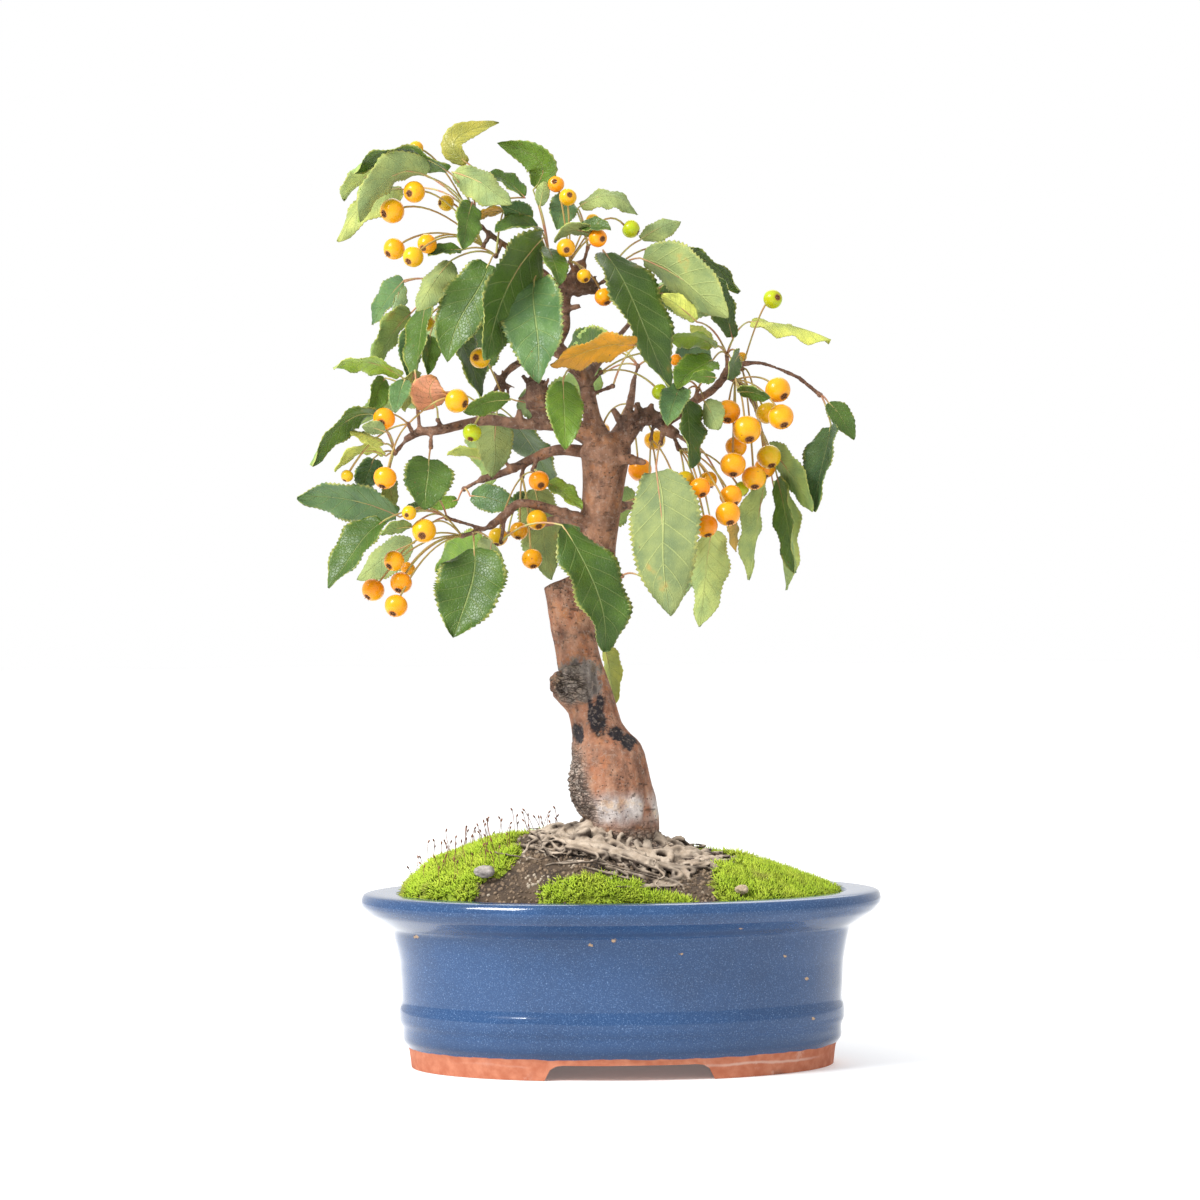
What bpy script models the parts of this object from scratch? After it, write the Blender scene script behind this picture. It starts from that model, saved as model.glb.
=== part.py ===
"""Crabapple bonsai in an oval glazed pot, rebuilt from one photograph.

Frame: x along the pot's long side to the viewer's right, y away from the
viewer, z up.  Everything is placed from the floor under the pot's middle, in
millimetres, and at the end the whole part is moved so that the origin lies
under the middle of its box.  Meshes are made in metres.
"""
import math
import random

import bmesh
import bpy
from mathutils import Matrix, Vector
from mathutils.bvhtree import BVHTree

MM = 0.001

# What the photograph shows and how far away it was taken.
MM_PER_PX = 0.576
EYE_AWAY = 2300.0
EYE_SIDE = -11.0
EYE_UP = 267.0
PHOTO_MIDDLE = 600.0
YAW = math.radians(2.5)
ROLL = math.radians(0.45)

# Gaps and smallest sizes.
GAP = 0.4
CLEAR = GAP * 0.8
HUB_R = 2.1
SPUR_R = 1.6
FLAT_ANGLE = 0.05
SHORTEST_EDGE = 0.00002

# Leaves: outline of the blade, where its first width lies, and how deep the teeth are cut.
BLADE_THICK = 0.75
BLADE_START = 0.07
BLADE_RISE = 0.62
BLADE_FALL = 0.78
TOOTH_OUT, TOOTH_IN = 1.04, 0.93
WAVE = 0.03
SAG = 0.07
LONGEST_LEAF = 96.0
WIDEST_LEAF = 42.0
NARROWEST_SHARE = 0.5
STALK_R = 0.62
THREE_SIDED = ((0.6, -0.9), (0.6, 0.9), (-1.1, 0.0))

# Fruit: rings of the body as how far along and how wide, for a radius of one.
PEDICEL_R = 0.6
FRUIT_RINGS = ((-0.52, 0.84), (0.42, 0.92), (0.98, 0.3))
FRUIT_NECK = 0.86
FRUIT_PLUMP = 1.04

# Pot.
POT_HALF_X = 150.3
POT_SIDE_LESS = 35.3
POT_HIGH = 100.0
POT_SIDES = 30
FOOT_HIGH = 11.5
FOOT_GAP_TOP = 41.5
FOOT_GAP_LOW = 48.0
FOOT_GAP_HIGH = 8.7
POT_FLOOR = 17.0
DRAIN_R = 11.0
DRAIN_X = 52.0
SCREEN_THICK = 1.2
SCREEN_DROP = 0.2
ROUND_SIDES = 16

# Ground inside the pot.
SOIL_HALF_X = 125.4
SOIL_EDGE_Z = 95.5
MOUND_LEFT = 40.0
MOUND_RIGHT = 29.0
GROUND_RINGS = 7
GROUND_SIDES = 32
MOSS_THICK = 3.2
MOSS_EDGE = 0.4
FRONT_MOSS = (246, 290)
BARE_CELLS = {(6, 20), (6, 27)}

POT_OUTSIDE = [
    (107.0, FOOT_HIGH), (109.5, 0.0), (121.5, 0.0), (123.0, FOOT_HIGH),
    (126.3, 15.5), (126.5, 23.5), (128.5, 26.5), (128.6, 33.5), (126.9, 37.0),
    (128.0, 60.0), (132.0, 79.0), (146.0, 88.4), (150.3, 93.5), (148.6, 99.2),
    (144.0, 100.0),
]
POT_INSIDE = [(130.0, 99.4), (127.0, 95.0), (122.0, 40.0), (113.0, POT_FLOOR)]


def seen(px, py, depth=0.0):
    """Point that the photograph shows at a pixel, at a depth behind the pot's middle."""
    grow = MM_PER_PX * (EYE_AWAY + depth) / EYE_AWAY
    right, up = px - PHOTO_MIDDLE, PHOTO_MIDDLE - py
    x = EYE_SIDE + grow * (right * math.cos(ROLL) + up * math.sin(ROLL))
    z = EYE_UP + grow * (up * math.cos(ROLL) - right * math.sin(ROLL))
    return Vector((x * math.cos(YAW) + depth * math.sin(YAW),
                   depth * math.cos(YAW) - x * math.sin(YAW), z))


EYE = Vector((EYE_SIDE * math.cos(YAW) - EYE_AWAY * math.sin(YAW),
              -EYE_AWAY * math.cos(YAW) - EYE_SIDE * math.sin(YAW), EYE_UP))

# Wood: photo pixel across and down, depth in mm, width in pixels.
TRUNK = [
    (630, 866, 0, 46), (629, 848, 0, 58), (626, 828, 0, 68), (620, 808, 0, 75),
    (611, 786, 0, 80), (607, 760, 0, 76), (601, 741, 1, 60), (596, 724, 2, 50),
    (587, 690, 3, 47), (579, 662, 3, 44), (574, 634, 3, 43), (569, 606, 3, 43),
    (559, 581, 3, 34),
]
LIMBS = {
    "upper": (8, [(588, 636, 4, 30), (593, 604, 8, 42), (597, 575, 8, 39), (598, 548, 8, 36),
                  (600, 520, 7, 39), (603, 488, 5, 42), (605, 462, 3, 48), (605, 448, 1, 52),
                  (602, 434, 0, 34)]),
    "leader": (6, [(601, 446, 0, 30), (593, 422, -2, 19), (589, 402, -4, 16),
                   (584, 380, -6, 14), (568, 358, -6, 14), (555, 345, -4, 17),
                   (565, 328, 0, 11), (565, 311, 0, 10), (564, 296, 0, 15)]),
    "branch_a": (5, [(603, 442, -2, 24), (575, 428, -6, 16), (550, 424, -10, 12),
                     (520, 424, -16, 11), (490, 420, -22, 11), (465, 424, -28, 10),
                     (440, 430, -34, 10), (420, 432, -38, 9), (405, 440, -42, 7)]),
    "branch_b": (5, [(598, 454, 6, 14), (557, 450, 14, 11), (520, 465, 22, 9),
                     (505, 472, 26, 8), (480, 480, 32, 7)]),
    "branch_c": (5, [(602, 532, 4, 14), (583, 520, 0, 11), (560, 512, -4, 10),
                     (522, 503, -12, 9), (505, 515, -16, 8), (488, 528, -20, 7)]),
    "branch_d": (6, [(604, 454, 0, 28), (622, 438, -2, 23), (640, 418, -8, 17),
                     (655, 418, -12, 15), (668, 430, -16, 13), (677, 435, -19, 11)]),
    "twig_e": (5, [(662, 424, -14, 11), (680, 413, -4, 10), (693, 402, 4, 9),
                   (710, 392, 12, 8), (722, 380, 18, 8), (727, 370, 22, 8)]),
    "twig_f": (4, [(724, 374, 20, 7), (745, 388, 34, 6), (757, 410, 40, 5)]),
    "twig_g": (4, [(726, 368, 23, 6), (760, 363, 32, 4), (800, 378, 38, 4)]),
    "twig_h": (5, [(564, 300, 0, 11), (545, 275, -8, 8), (522, 256, -14, 7),
                   (502, 243, -20, 6), (488, 233, -24, 6)]),
    "twig_j": (5, [(563, 320, 2, 10), (530, 318, 12, 8), (500, 308, 20, 7), (470, 298, 26, 6)]),
    "twig_k": (5, [(558, 346, -4, 10), (532, 356, -10, 8), (510, 369, -16, 7), (500, 382, -19, 6)]),
    "burr": (5, [(560, 290, 0, 18), (570, 284, 0, 22), (584, 286, 2, 19), (597, 286, 6, 12)]),
    "cut_piece": (5, [(572, 290, -2, 14), (577, 272, -4, 14), (584, 262, -6, 10)]),
    "twig_burr": (5, [(546, 428, -10, 14), (541, 410, -14, 22), (536, 394, -18, 24),
                      (531, 382, -20, 9)]),
    "stub_leader": (4, [(566, 309, 0, 7), (580, 306, -6, 5)]),
    "stub_right": (4, [(616, 458, -4, 13), (634, 460, -14, 9), (646, 463, -18, 5)]),
    "stub_low": (4, [(520, 424, -16, 9), (519, 409, -18, 5)]),
    "stub_d": (4, [(640, 418, -8, 10), (637, 402, -12, 5)]),
    "stub_d_left": (4, [(626, 430, -4, 12), (613, 409, -10, 6)]),
    "stub_d_mid": (4, [(648, 418, -10, 10), (652, 403, -14, 5)]),
    "back_a": (5, [(604, 460, 8, 20), (612, 440, 34, 13), (628, 412, 58, 9), (634, 380, 74, 6)]),
    "back_b": (5, [(600, 446, 6, 18), (565, 428, 34, 12), (522, 424, 58, 9), (490, 414, 74, 6)]),
    "back_c": (4, [(565, 328, 2, 10), (556, 318, 26, 8), (528, 304, 48, 5)]),
    "back_d": (4, [(584, 380, -4, 12), (606, 352, 24, 8), (634, 318, 48, 5)]),
    "back_e": (4, [(601, 512, 10, 14), (624, 506, 34, 10), (652, 506, 54, 6)]),
    "back_f": (4, [(584, 520, 2, 11), (556, 520, 28, 9), (520, 530, 50, 6)]),
}
KNOT = [(578, 690, 0, 50), (560, 682, -4, 30), (566, 668, -16, 24), (580, 696, -17, 26)]

# Sprays of leaves: where the spur leaves the wood, where the leaves meet, then each leaf as
# base, middle (0, 0 where it runs straight), tip, width seen, base depth, tip depth, side seen.
SPRAYS = {
    "leaves_top_left": ((488, 233, -24), (476, 221, -30), [
        (451, 174, 400, 152, 352, 172, 18, -34, -40, 1),
        (428, 177, 392, 176, 358, 222, 30, -32, -60, -1),
        (405, 190, 372, 198, 338, 242, 28, -22, -2, -1),
        (385, 165, 0, 0, 343, 200, 18, -12, 12, -1),
        (470, 165, 456, 140, 499, 123, 22, -30, -22, 1),
        (452, 172, 0, 0, 512, 204, 30, -38, -50, -1),
        (472, 202, 0, 0, 462, 250, 26, -42, -62, 1),
        (525, 198, 0, 0, 490, 172, 14, -14, -6, 1),
    ]),
    "leaves_upper_left": ((502, 243, -20), (496, 256, -26), [
        (503, 212, 0, 0, 473, 217, 10, -14, -18, 1),
        (462, 250, 0, 0, 428, 256, 11, -30, -44, 1),
        (452, 260, 0, 0, 417, 312, 28, -34, -50, -1),
        (490, 262, 0, 0, 447, 362, 50, -38, -50, 1),
    ]),
    "leaves_top": ((562, 288, 0), (550, 263, -8), [
        (545, 236, 506, 290, 487, 360, 52, -24, -70, 1),
        (534, 280, 0, 0, 538, 383, 60, -34, -76, 1),
        (533, 190, 540, 162, 497, 143, 30, -6, -18, 1),
        (540, 207, 0, 0, 545, 181, 14, -14, -18, -1),
        (530, 222, 0, 0, 500, 205, 24, -18, -38, 1),
        (540, 228, 0, 0, 495, 232, 14, -26, -50, 1),
        (548, 248, 0, 0, 560, 285, 22, -22, -46, 1),
    ]),
    "leaves_crown": ((584, 262, -6), (588, 247, -8), [
        (568, 196, 0, 0, 557, 230, 28, -8, -30, 1),
        (578, 208, 610, 196, 637, 215, 18, 2, 6, -1),
        (580, 228, 0, 0, 611, 230, 13, -22, -34, 1),
        (600, 242, 577, 230, 555, 243, 12, -28, -40, -1),
    ]),
    "leaves_top_right": ((596, 286, 6), (606, 280, 12), [
        (603, 250, 0, 0, 668, 388, 44, -6, -44, 1),
        (640, 240, 0, 0, 681, 222, 20, 14, 28, -1),
        (640, 258, 0, 0, 728, 318, 46, 2, -20, -1),
        (668, 246, 708, 262, 740, 292, 18, 28, 42, 1),
    ]),
    "leaves_left_high": ((470, 298, 26), (450, 292, 30), [
        (450, 315, 0, 0, 480, 398, 26, 16, 2, 1),
        (427, 298, 0, 0, 415, 382, 22, 16, 0, 1),
        (430, 335, 0, 0, 428, 375, 18, 30, 22, 1),
        (412, 312, 0, 0, 372, 365, 24, 22, 4, -1),
        (410, 328, 0, 0, 408, 378, 24, 40, 34, 1),
        (405, 280, 0, 0, 372, 325, 20, 36, 56, 1),
        (402, 283, 0, 0, 393, 320, 14, 52, 66, -1),
    ]),
    "leaves_left_mid": ((420, 432, -38), (417, 402, -42), [
        (403, 378, 368, 362, 333, 368, 16, -46, -52, 1),
        (405, 380, 0, 0, 395, 413, 20, -54, -70, 1),
        (385, 378, 0, 0, 370, 415, 20, -38, -50, 1),
        (415, 370, 0, 0, 405, 412, 18, -32, -16, -1),
    ]),
    "leaves_left_end": ((407, 439, -41), (395, 453, -46), [
        (375, 415, 345, 422, 310, 465, 20, -56, -64, 1),
        (385, 432, 0, 0, 362, 427, 14, -64, -80, -1),
        (385, 444, 0, 0, 350, 432, 10, -52, -58, -1),
        (386, 456, 362, 452, 335, 472, 10, -44, -40, -1),
        (374, 458, 0, 0, 363, 492, 26, -36, -18, 1),
        (388, 478, 0, 0, 395, 520, 18, -34, -22, -1),
    ]),
    "leaf_left_dark": ((431, 431, -36), (431, 447, -42), [
        (429, 458, 0, 0, 425, 510, 48, -48, -60, 1),
    ]),
    "leaves_centre_left": ((502, 380, -18), (491, 397, -24), [
        (510, 400, 0, 0, 463, 412, 20, -32, -48, 1),
        (497, 412, 0, 0, 492, 478, 38, -6, 10, -1),
    ]),
    "leaves_inner": ((512, 469, 24), (504, 461, 22), [
        (503, 454, 0, 0, 512, 430, 10, 16, 8, -1),
        (490, 462, 0, 0, 447, 455, 10, 16, 22, -1),
    ]),
    "leaves_back_left": ((482, 479, 31), (464, 489, 38), [
        (470, 496, 0, 0, 517, 510, 28, 30, 8, 1),
        (458, 500, 0, 0, 430, 512, 14, 34, 30, 1),
    ]),
    "leaves_centre": ((538, 458, 17), (533, 470, 14), [
        (545, 482, 0, 0, 582, 510, 16, 6, -8, 1),
        (534, 486, 0, 0, 552, 580, 42, 26, 30, -1),
    ]),
    "leaves_low_left": ((490, 526, -20), (473, 533, -26), [
        (492, 541, 0, 0, 485, 597, 30, -14, 6, -1),
        (474, 546, 470, 590, 453, 638, 66, -40, -62, 1),
    ]),
    "leaf_over_trunk": ((505, 515, -16), (501, 542, -20), [
        (562, 525, 596, 590, 604, 652, 50, -36, -50, 1),
    ]),
    "leaves_low_end": ((484, 529, -21), (447, 518, -32), [
        (400, 517, 352, 500, 297, 497, 36, -38, -30, 1),
        (385, 520, 0, 0, 328, 588, 30, -50, -62, 1),
        (414, 543, 0, 0, 357, 580, 32, -22, -6, -1),
        (412, 527, 0, 0, 381, 535, 12, -56, -68, -1),
        (438, 498, 0, 0, 403, 510, 12, -34, -48, 1),
    ]),
    "leaf_trunk_back": ((592, 640, 6), (604, 632, 30), [
        (605, 646, 0, 0, 615, 704, 18, 32, 24, -1),
    ]),
    "leaf_trunk_right": ((600, 577, 8), (622, 576, 4), [
        (640, 576, 0, 0, 662, 592, 12, -2, -12, -1),
    ]),
    "leaves_right": ((727, 368, 23), (727, 355, 26), [
        (733, 340, 0, 0, 716, 275, 24, 22, 12, 1),
        (697, 322, 0, 0, 660, 296, 18, 10, -6, -1),
        (715, 348, 692, 336, 668, 340, 18, 8, -12, 1),
        (713, 360, 0, 0, 677, 388, 28, 6, -24, 1),
        (712, 344, 0, 0, 690, 325, 14, 32, 46, -1),
        (748, 322, 0, 0, 831, 340, 10, 34, 40, -1),
        (739, 354, 0, 0, 728, 380, 14, 6, -14, 1),
        (738, 392, 0, 0, 770, 398, 14, 0, -20, 1),
    ]),
    "leaves_right_end": ((798, 377, 38), (820, 395, 42), [
        (828, 402, 0, 0, 854, 440, 22, 40, 30, 1),
        (831, 425, 0, 0, 815, 512, 28, 34, 14, 1),
    ]),
    "leaves_right_low": ((756, 408, 40), (762, 434, 46), [
        (768, 446, 0, 0, 812, 512, 24, 36, 18, -1),
        (766, 478, 0, 0, 748, 580, 20, 48, 56, -1),
        (772, 478, 0, 0, 787, 590, 18, 62, 72, -1),
        (777, 476, 0, 0, 796, 573, 18, 34, 28, 1),
    ]),
    "leaves_right_inner": ((694, 401, 4), (698, 389, 4), [
        (684, 395, 0, 0, 693, 468, 22, -14, -34, 1),
        (680, 385, 0, 0, 668, 426, 28, -24, -46, 1),
        (704, 401, 0, 0, 718, 430, 24, -10, -30, -1),
        (716, 378, 0, 0, 690, 380, 14, -14, -30, 1),
    ]),
    "leaves_low_right": ((676, 434, -19), (688, 442, -22), [
        (712, 528, 0, 0, 700, 627, 35, 6, -6, -1),
        (735, 515, 0, 0, 736, 552, 10, 10, 12, -1),
    ]),
    "leaf_low_right_big": ((664, 426, -15), (661, 443, -22), [
        (656, 468, 0, 0, 670, 616, 68, -40, -60, -1),
    ]),
    "leaf_centre": ((584, 381, -6), (570, 370, -22), [
        (563, 380, 0, 0, 565, 450, 36, -32, -48, 1),
    ]),
    "autumn_leaf": ((590, 395, -4), (613, 386, -20), [
        (638, 345, 0, 0, 550, 365, 26, -42, -60, 1),
    ]),
    "dead_leaf": ((444, 430, -33), (438, 420, -38), [
        (437, 408, 430, 392, 437, 378, 38, -44, -42, 1),
    ]),
}

# Bunches of fruit: spur start, where the stalks meet, then each fruit as pixel, radius, depth.
BUNCHES = {
    "fruit_top_left": ((490, 235, -24), (483, 246, -26), [
        (416, 148, 7, -46), (414, 192, 10.5, -48), (392, 211, 12, -44), (394, 249, 10.5, -40),
        (427, 244, 9.5, -46), (413, 257, 10, -60), (446, 203, 8, -22)]),
    "fruit_crown": ((576, 276, -4), (570, 262, -14), [
        (556, 184, 8, -20), (568, 197, 8.5, -26), (593, 221, 7, -10), (598, 238, 9, -26),
        (566, 248, 9, -36), (631, 229, 9, 6), (604, 297, 9, -26), (584, 276, 7, -30)]),
    "fruit_right": ((727, 371, 22), (735, 380, 14), [
        (778, 390, 12.5, 0), (767, 413, 11, 16), (781, 417, 12.5, -8), (728, 412, 12, -4),
        (747, 430, 14, -14), (736, 447, 10.5, 4), (733, 465, 12.5, -12)]),
    "fruit_right_high": ((728, 369, 24), (742, 369, 38), [
        (773, 299, 9.5, 30), (769, 457, 12, 8), (765, 468, 10.5, 26), (754, 478, 12, -2),
        (742, 357, 5, 46)]),
    "fruit_low_right": ((672, 432, -17), (679, 449, -10), [
        (685, 480, 9, -22), (700, 488, 10, -30), (708, 480, 9, -4), (731, 496, 11, -18),
        (741, 489, 8, 8), (728, 514, 12, -34), (706, 526, 11.5, -22)]),
    "fruit_low_right_inner": ((654, 419, -12), (651, 440, -14), [
        (649, 497, 9, -18), (661, 512, 12, -14), (684, 513, 10, -40)]),
    "fruit_middle": ((586, 388, -6), (601, 372, -2), [
        (660, 392, 8, -12), (676, 360, 6, 0)]),
    "fruit_left": ((414, 435, -40), (408, 424, -52), [
        (457, 401, 11.5, -56), (384, 419, 10.5, -70), (385, 478, 11, -62), (347, 476, 6, -56)]),
    "fruit_left_high": ((474, 299, 25), (456, 304, 20), [(425, 323, 9, 8)]),
    "fruit_centre_left": ((504, 376, -18), (503, 398, -22), [
        (480, 358, 10, -34), (472, 433, 9, -42)]),
    "fruit_centre": ((524, 463, 21), (522, 477, 16), [
        (539, 481, 10, -6), (537, 520, 10, -10), (519, 531, 9, 0), (498, 537, 9.5, 8),
        (532, 559, 10, -16)]),
    "fruit_low_left": ((486, 529, -20), (462, 536, -24), [
        (409, 513, 7, -66), (424, 531, 11.5, -62), (394, 561, 10, -50), (408, 569, 7, -26),
        (401, 583, 10.5, -46), (373, 590, 11, -40), (396, 606, 11, -56)]),
    "fruit_back": ((630, 396, 66), (628, 404, 84), [
        (612, 450, 11, 96), (640, 470, 12, 88), (600, 430, 10, 110), (655, 440, 11, 104)]),
}

# Leaves at the back, which the photograph hides: spur start, meeting point, how many are tried.
BACK_SPRAYS = {
    "leaves_back_right": ((634, 380, 74), (638, 366, 82), 4),
    "leaves_back_mid": ((490, 414, 74), (478, 404, 80), 4),
    "leaves_back_top": ((528, 304, 48), (516, 300, 54), 4),
    "leaves_back_high": ((634, 318, 48), (645, 310, 54), 3),
    "leaves_back_low": ((652, 506, 54), (664, 508, 60), 3),
    "leaves_back_low_left": ((520, 530, 50), (508, 534, 56), 3),
}
BACK_SEED = 11
BACK_LEAF = (46.0, 66.0)
BACK_SHOWS = 0.3

# Roots over the ground: heading in degrees, length and thickness in mm.
ROOT_RINGS = (0.0, 0.35, 0.7, 1.0)
TRUNK_SIDES = 10
ROOTS = [
    (200, 44, 3.3), (220, 50, 2.6), (238, 54, 2.9), (254, 60, 2.6), (269, 64, 3.0),
    (285, 56, 2.5), (301, 58, 2.9), (319, 58, 3.0), (343, 56, 3.2), (25, 34, 3.2),
    (90, 30, 3.0), (150, 34, 3.2),
]
TRUNK_FOOT = (5.0, -2.0)
ROOT_START = 9.0

# Pebbles: photo pixel across and down, depth and half length in mm.
PEBBLES = {"pebble_left": (485, 886, -66, 7.0), "pebble_right": (742, 891, -67, 5.5)}


# Mesh helpers.
class Shape:
    """Vertices and faces of one closed piece, in millimetres."""

    def __init__(self):
        self.points = []
        self.faces = []

    def add(self, points):
        start = len(self.points)
        self.points.extend(Vector(p) for p in points)
        return list(range(start, start + len(points)))

    def face(self, *corners):
        if len(set(corners)) > 2:
            self.faces.append(tuple(corners))

    def mesh(self, name):
        built = bpy.data.meshes.new(name)
        built.from_pydata([p * MM for p in self.points], [], self.faces)
        work = bmesh.new()
        work.from_mesh(built)
        bmesh.ops.triangulate(work, faces=work.faces[:])
        bmesh.ops.recalc_face_normals(work, faces=work.faces[:])
        work.to_mesh(built)
        work.free()
        return built

    def tree(self):
        return BVHTree.FromPolygons(self.points, self.faces)

    def box(self):
        low = Vector(min(p[i] for p in self.points) for i in range(3))
        high = Vector(max(p[i] for p in self.points) for i in range(3))
        return low, high


def curve(start, middle, end, t):
    """Point on the parabola that passes through three points."""
    bend = middle * 2.0 - (start + end) * 0.5
    return start * (1 - t) ** 2 + bend * (2 * t * (1 - t)) + end * t ** 2


def across(direction, wanted):
    """Unit vector nearest to the wanted one and square to a direction."""
    flat = wanted - direction * wanted.dot(direction)
    if flat.length < 1e-6:
        flat = direction.orthogonal()
    return flat.normalized()


def bridge(shape, low, high):
    """Join two rings with the same number of corners."""
    for i in range(len(low)):
        j = (i + 1) % len(low)
        shape.face(low[i], low[j], high[j], high[i])


def tube(path, sides):
    """Closed round limb through (point, radius) pairs."""
    shape = Shape()
    rings = []
    up = None
    for i, (point, radius) in enumerate(path):
        ahead = path[min(i + 1, len(path) - 1)][0] - path[max(i - 1, 0)][0]
        ahead.normalize()
        up = across(ahead, up if up else Vector((0.2, 1.0, 0.1)))
        side = ahead.cross(up)
        rings.append(shape.add([
            point + (up * math.cos(a) + side * math.sin(a)) * radius
            for a in (2 * math.pi * k / sides for k in range(sides))]))
    for low, high in zip(rings, rings[1:]):
        bridge(shape, low, high)
    shape.face(*rings[0])
    shape.face(*rings[-1])
    return shape


def lump(point, radius, sides=6):
    """Small closed ball with few sides."""
    shape = Shape()
    top, low = shape.add([point + Vector((0, 0, radius)), point - Vector((0, 0, radius))])
    rings = []
    for height in (0.5, -0.5):
        wide = radius * math.sqrt(1 - height ** 2)
        rings.append(shape.add([
            point + Vector((wide * math.cos(a), wide * math.sin(a), radius * height))
            for a in (2 * math.pi * k / sides for k in range(sides))]))
    bridge(shape, rings[0], rings[1])
    for k in range(sides):
        shape.face(rings[0][k], rings[0][(k + 1) % sides], top)
        shape.face(rings[1][k], rings[1][(k + 1) % sides], low)
    return shape


def burr(point, radius=HUB_R):
    """Eight-sided knob where the stalks of a spray meet."""
    shape = Shape()
    ways = ((1, 0, 0), (0, 1, 0), (-1, 0, 0), (0, -1, 0))
    sides = shape.add([point + Vector(way) * radius for way in ways])
    ends = shape.add([point + Vector((0, 0, radius)), point - Vector((0, 0, radius))])
    for k in range(4):
        shape.face(sides[k], sides[(k + 1) % 4], ends[0])
        shape.face(sides[k], sides[(k + 1) % 4], ends[1])
    return shape


def blade_shape(t):
    return t ** BLADE_RISE * (1.0 - t) ** BLADE_FALL


BLADE_PEAK = blade_shape(BLADE_RISE / (BLADE_RISE + BLADE_FALL))


def blade_half(t):
    """Half width of a leaf blade along its length, as a share of the widest."""
    return blade_shape(t) / BLADE_PEAK if 0.0 < t < 1.0 else 0.0


def blade_frame(base, middle, tip, roll, t):
    """Point on the midrib with the way that the blade faces there and its side."""
    ahead = (curve(base, middle, tip, min(t + 0.02, 1.0))
             - curve(base, middle, tip, max(t - 0.02, 0.0))).normalized()
    here = curve(base, middle, tip, t)
    facing = Matrix.Rotation(roll, 3, ahead) @ across(ahead, EYE - here)
    return here, facing, ahead.cross(facing)


def stalk_ring(shape, point, face_up, side, radius):
    return shape.add([point + (face_up * u + side * v) * radius for u, v in THREE_SIDED])


def leaf(hub, stalk_bend, base, middle, tip, wide, roll, fold, teeth, swell=0.0):
    """One closed leaf: three-sided stalk running into a folded blade with a toothed edge."""
    shape = Shape()
    lift = BLADE_THICK / 2 + swell
    stalk = STALK_R + swell
    here, facing, side = blade_frame(base, middle, tip, roll, 0.0)
    rings = []
    for share in (0.0, 0.5):
        point = curve(hub, stalk_bend, base, share)
        ahead = (curve(hub, stalk_bend, base, share + 0.05) - point).normalized()
        face_up = across(ahead, facing)
        rings.append(stalk_ring(shape, point, face_up, ahead.cross(face_up), stalk))
    rings.append(stalk_ring(shape, here, facing, side, stalk))
    shape.face(*rings[0])
    bridge(shape, rings[0], rings[1])
    bridge(shape, rings[1], rings[2])

    mids, edges = [], []
    for j in range(2 * teeth):
        t = BLADE_START + (1.0 - BLADE_START) * j / (2 * teeth)
        here, face_up, side = blade_frame(base, middle, tip, roll, t)
        half = wide / 2 * blade_half(t) * (TOOTH_OUT if j % 2 else TOOTH_IN)
        half = max(half, 1.0) + swell
        rise = half * math.tan(fold) + wide * WAVE * math.sin(j * 2.4 + wide)
        row = []
        for sign in (-1, 1):
            edge = here + side * sign * half + face_up * rise
            row.append(shape.add([edge + face_up * lift, edge - face_up * lift]))
        edges.append(row)
        if j % 2 == 0:
            mids.append(shape.add([here + face_up * lift, here - face_up * lift]))
    end, face_up, side = blade_frame(base, middle, tip, roll, 1.0)
    point = shape.add([end + face_up * lift, end - face_up * lift])
    close_base(shape, rings[2], edges[0], mids[0])
    for i in range(teeth):
        last = i == teeth - 1
        for hand in (0, 1):
            close_tooth(shape, mids[i], point if last else mids[i + 1], edges[2 * i][hand],
                        edges[2 * i + 1][hand], point if last else edges[2 * i + 2][hand], last)
    return shape


def close_base(shape, ring, edges, mid):
    """Faces from the stalk's three corners to the first width of the blade."""
    left, right, low = ring
    (left_up, left_low), (right_up, right_low) = edges
    mid_up, mid_low = mid
    for corners in ((left, left_up, mid_up), (left, mid_up, right), (right, mid_up, right_up),
                    (right, right_up, right_low), (right, right_low, low), (low, right_low, mid_low),
                    (low, mid_low, left_low), (low, left_low, left), (left, left_low, left_up)):
        shape.face(*corners)


def close_tooth(shape, mid, mid_next, edge_a, edge_b, edge_c, last):
    """Both faces of one tooth's stretch of blade, and the edge between them."""
    for k in (0, 1):
        shape.face(mid[k], edge_a[k], edge_b[k])
        shape.face(mid[k], edge_b[k], mid_next[k])
        if not last:
            shape.face(mid_next[k], edge_b[k], edge_c[k])
    shape.face(edge_a[0], edge_a[1], edge_b[1], edge_b[0])
    shape.face(edge_b[0], edge_b[1], edge_c[1], edge_c[0])


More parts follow.
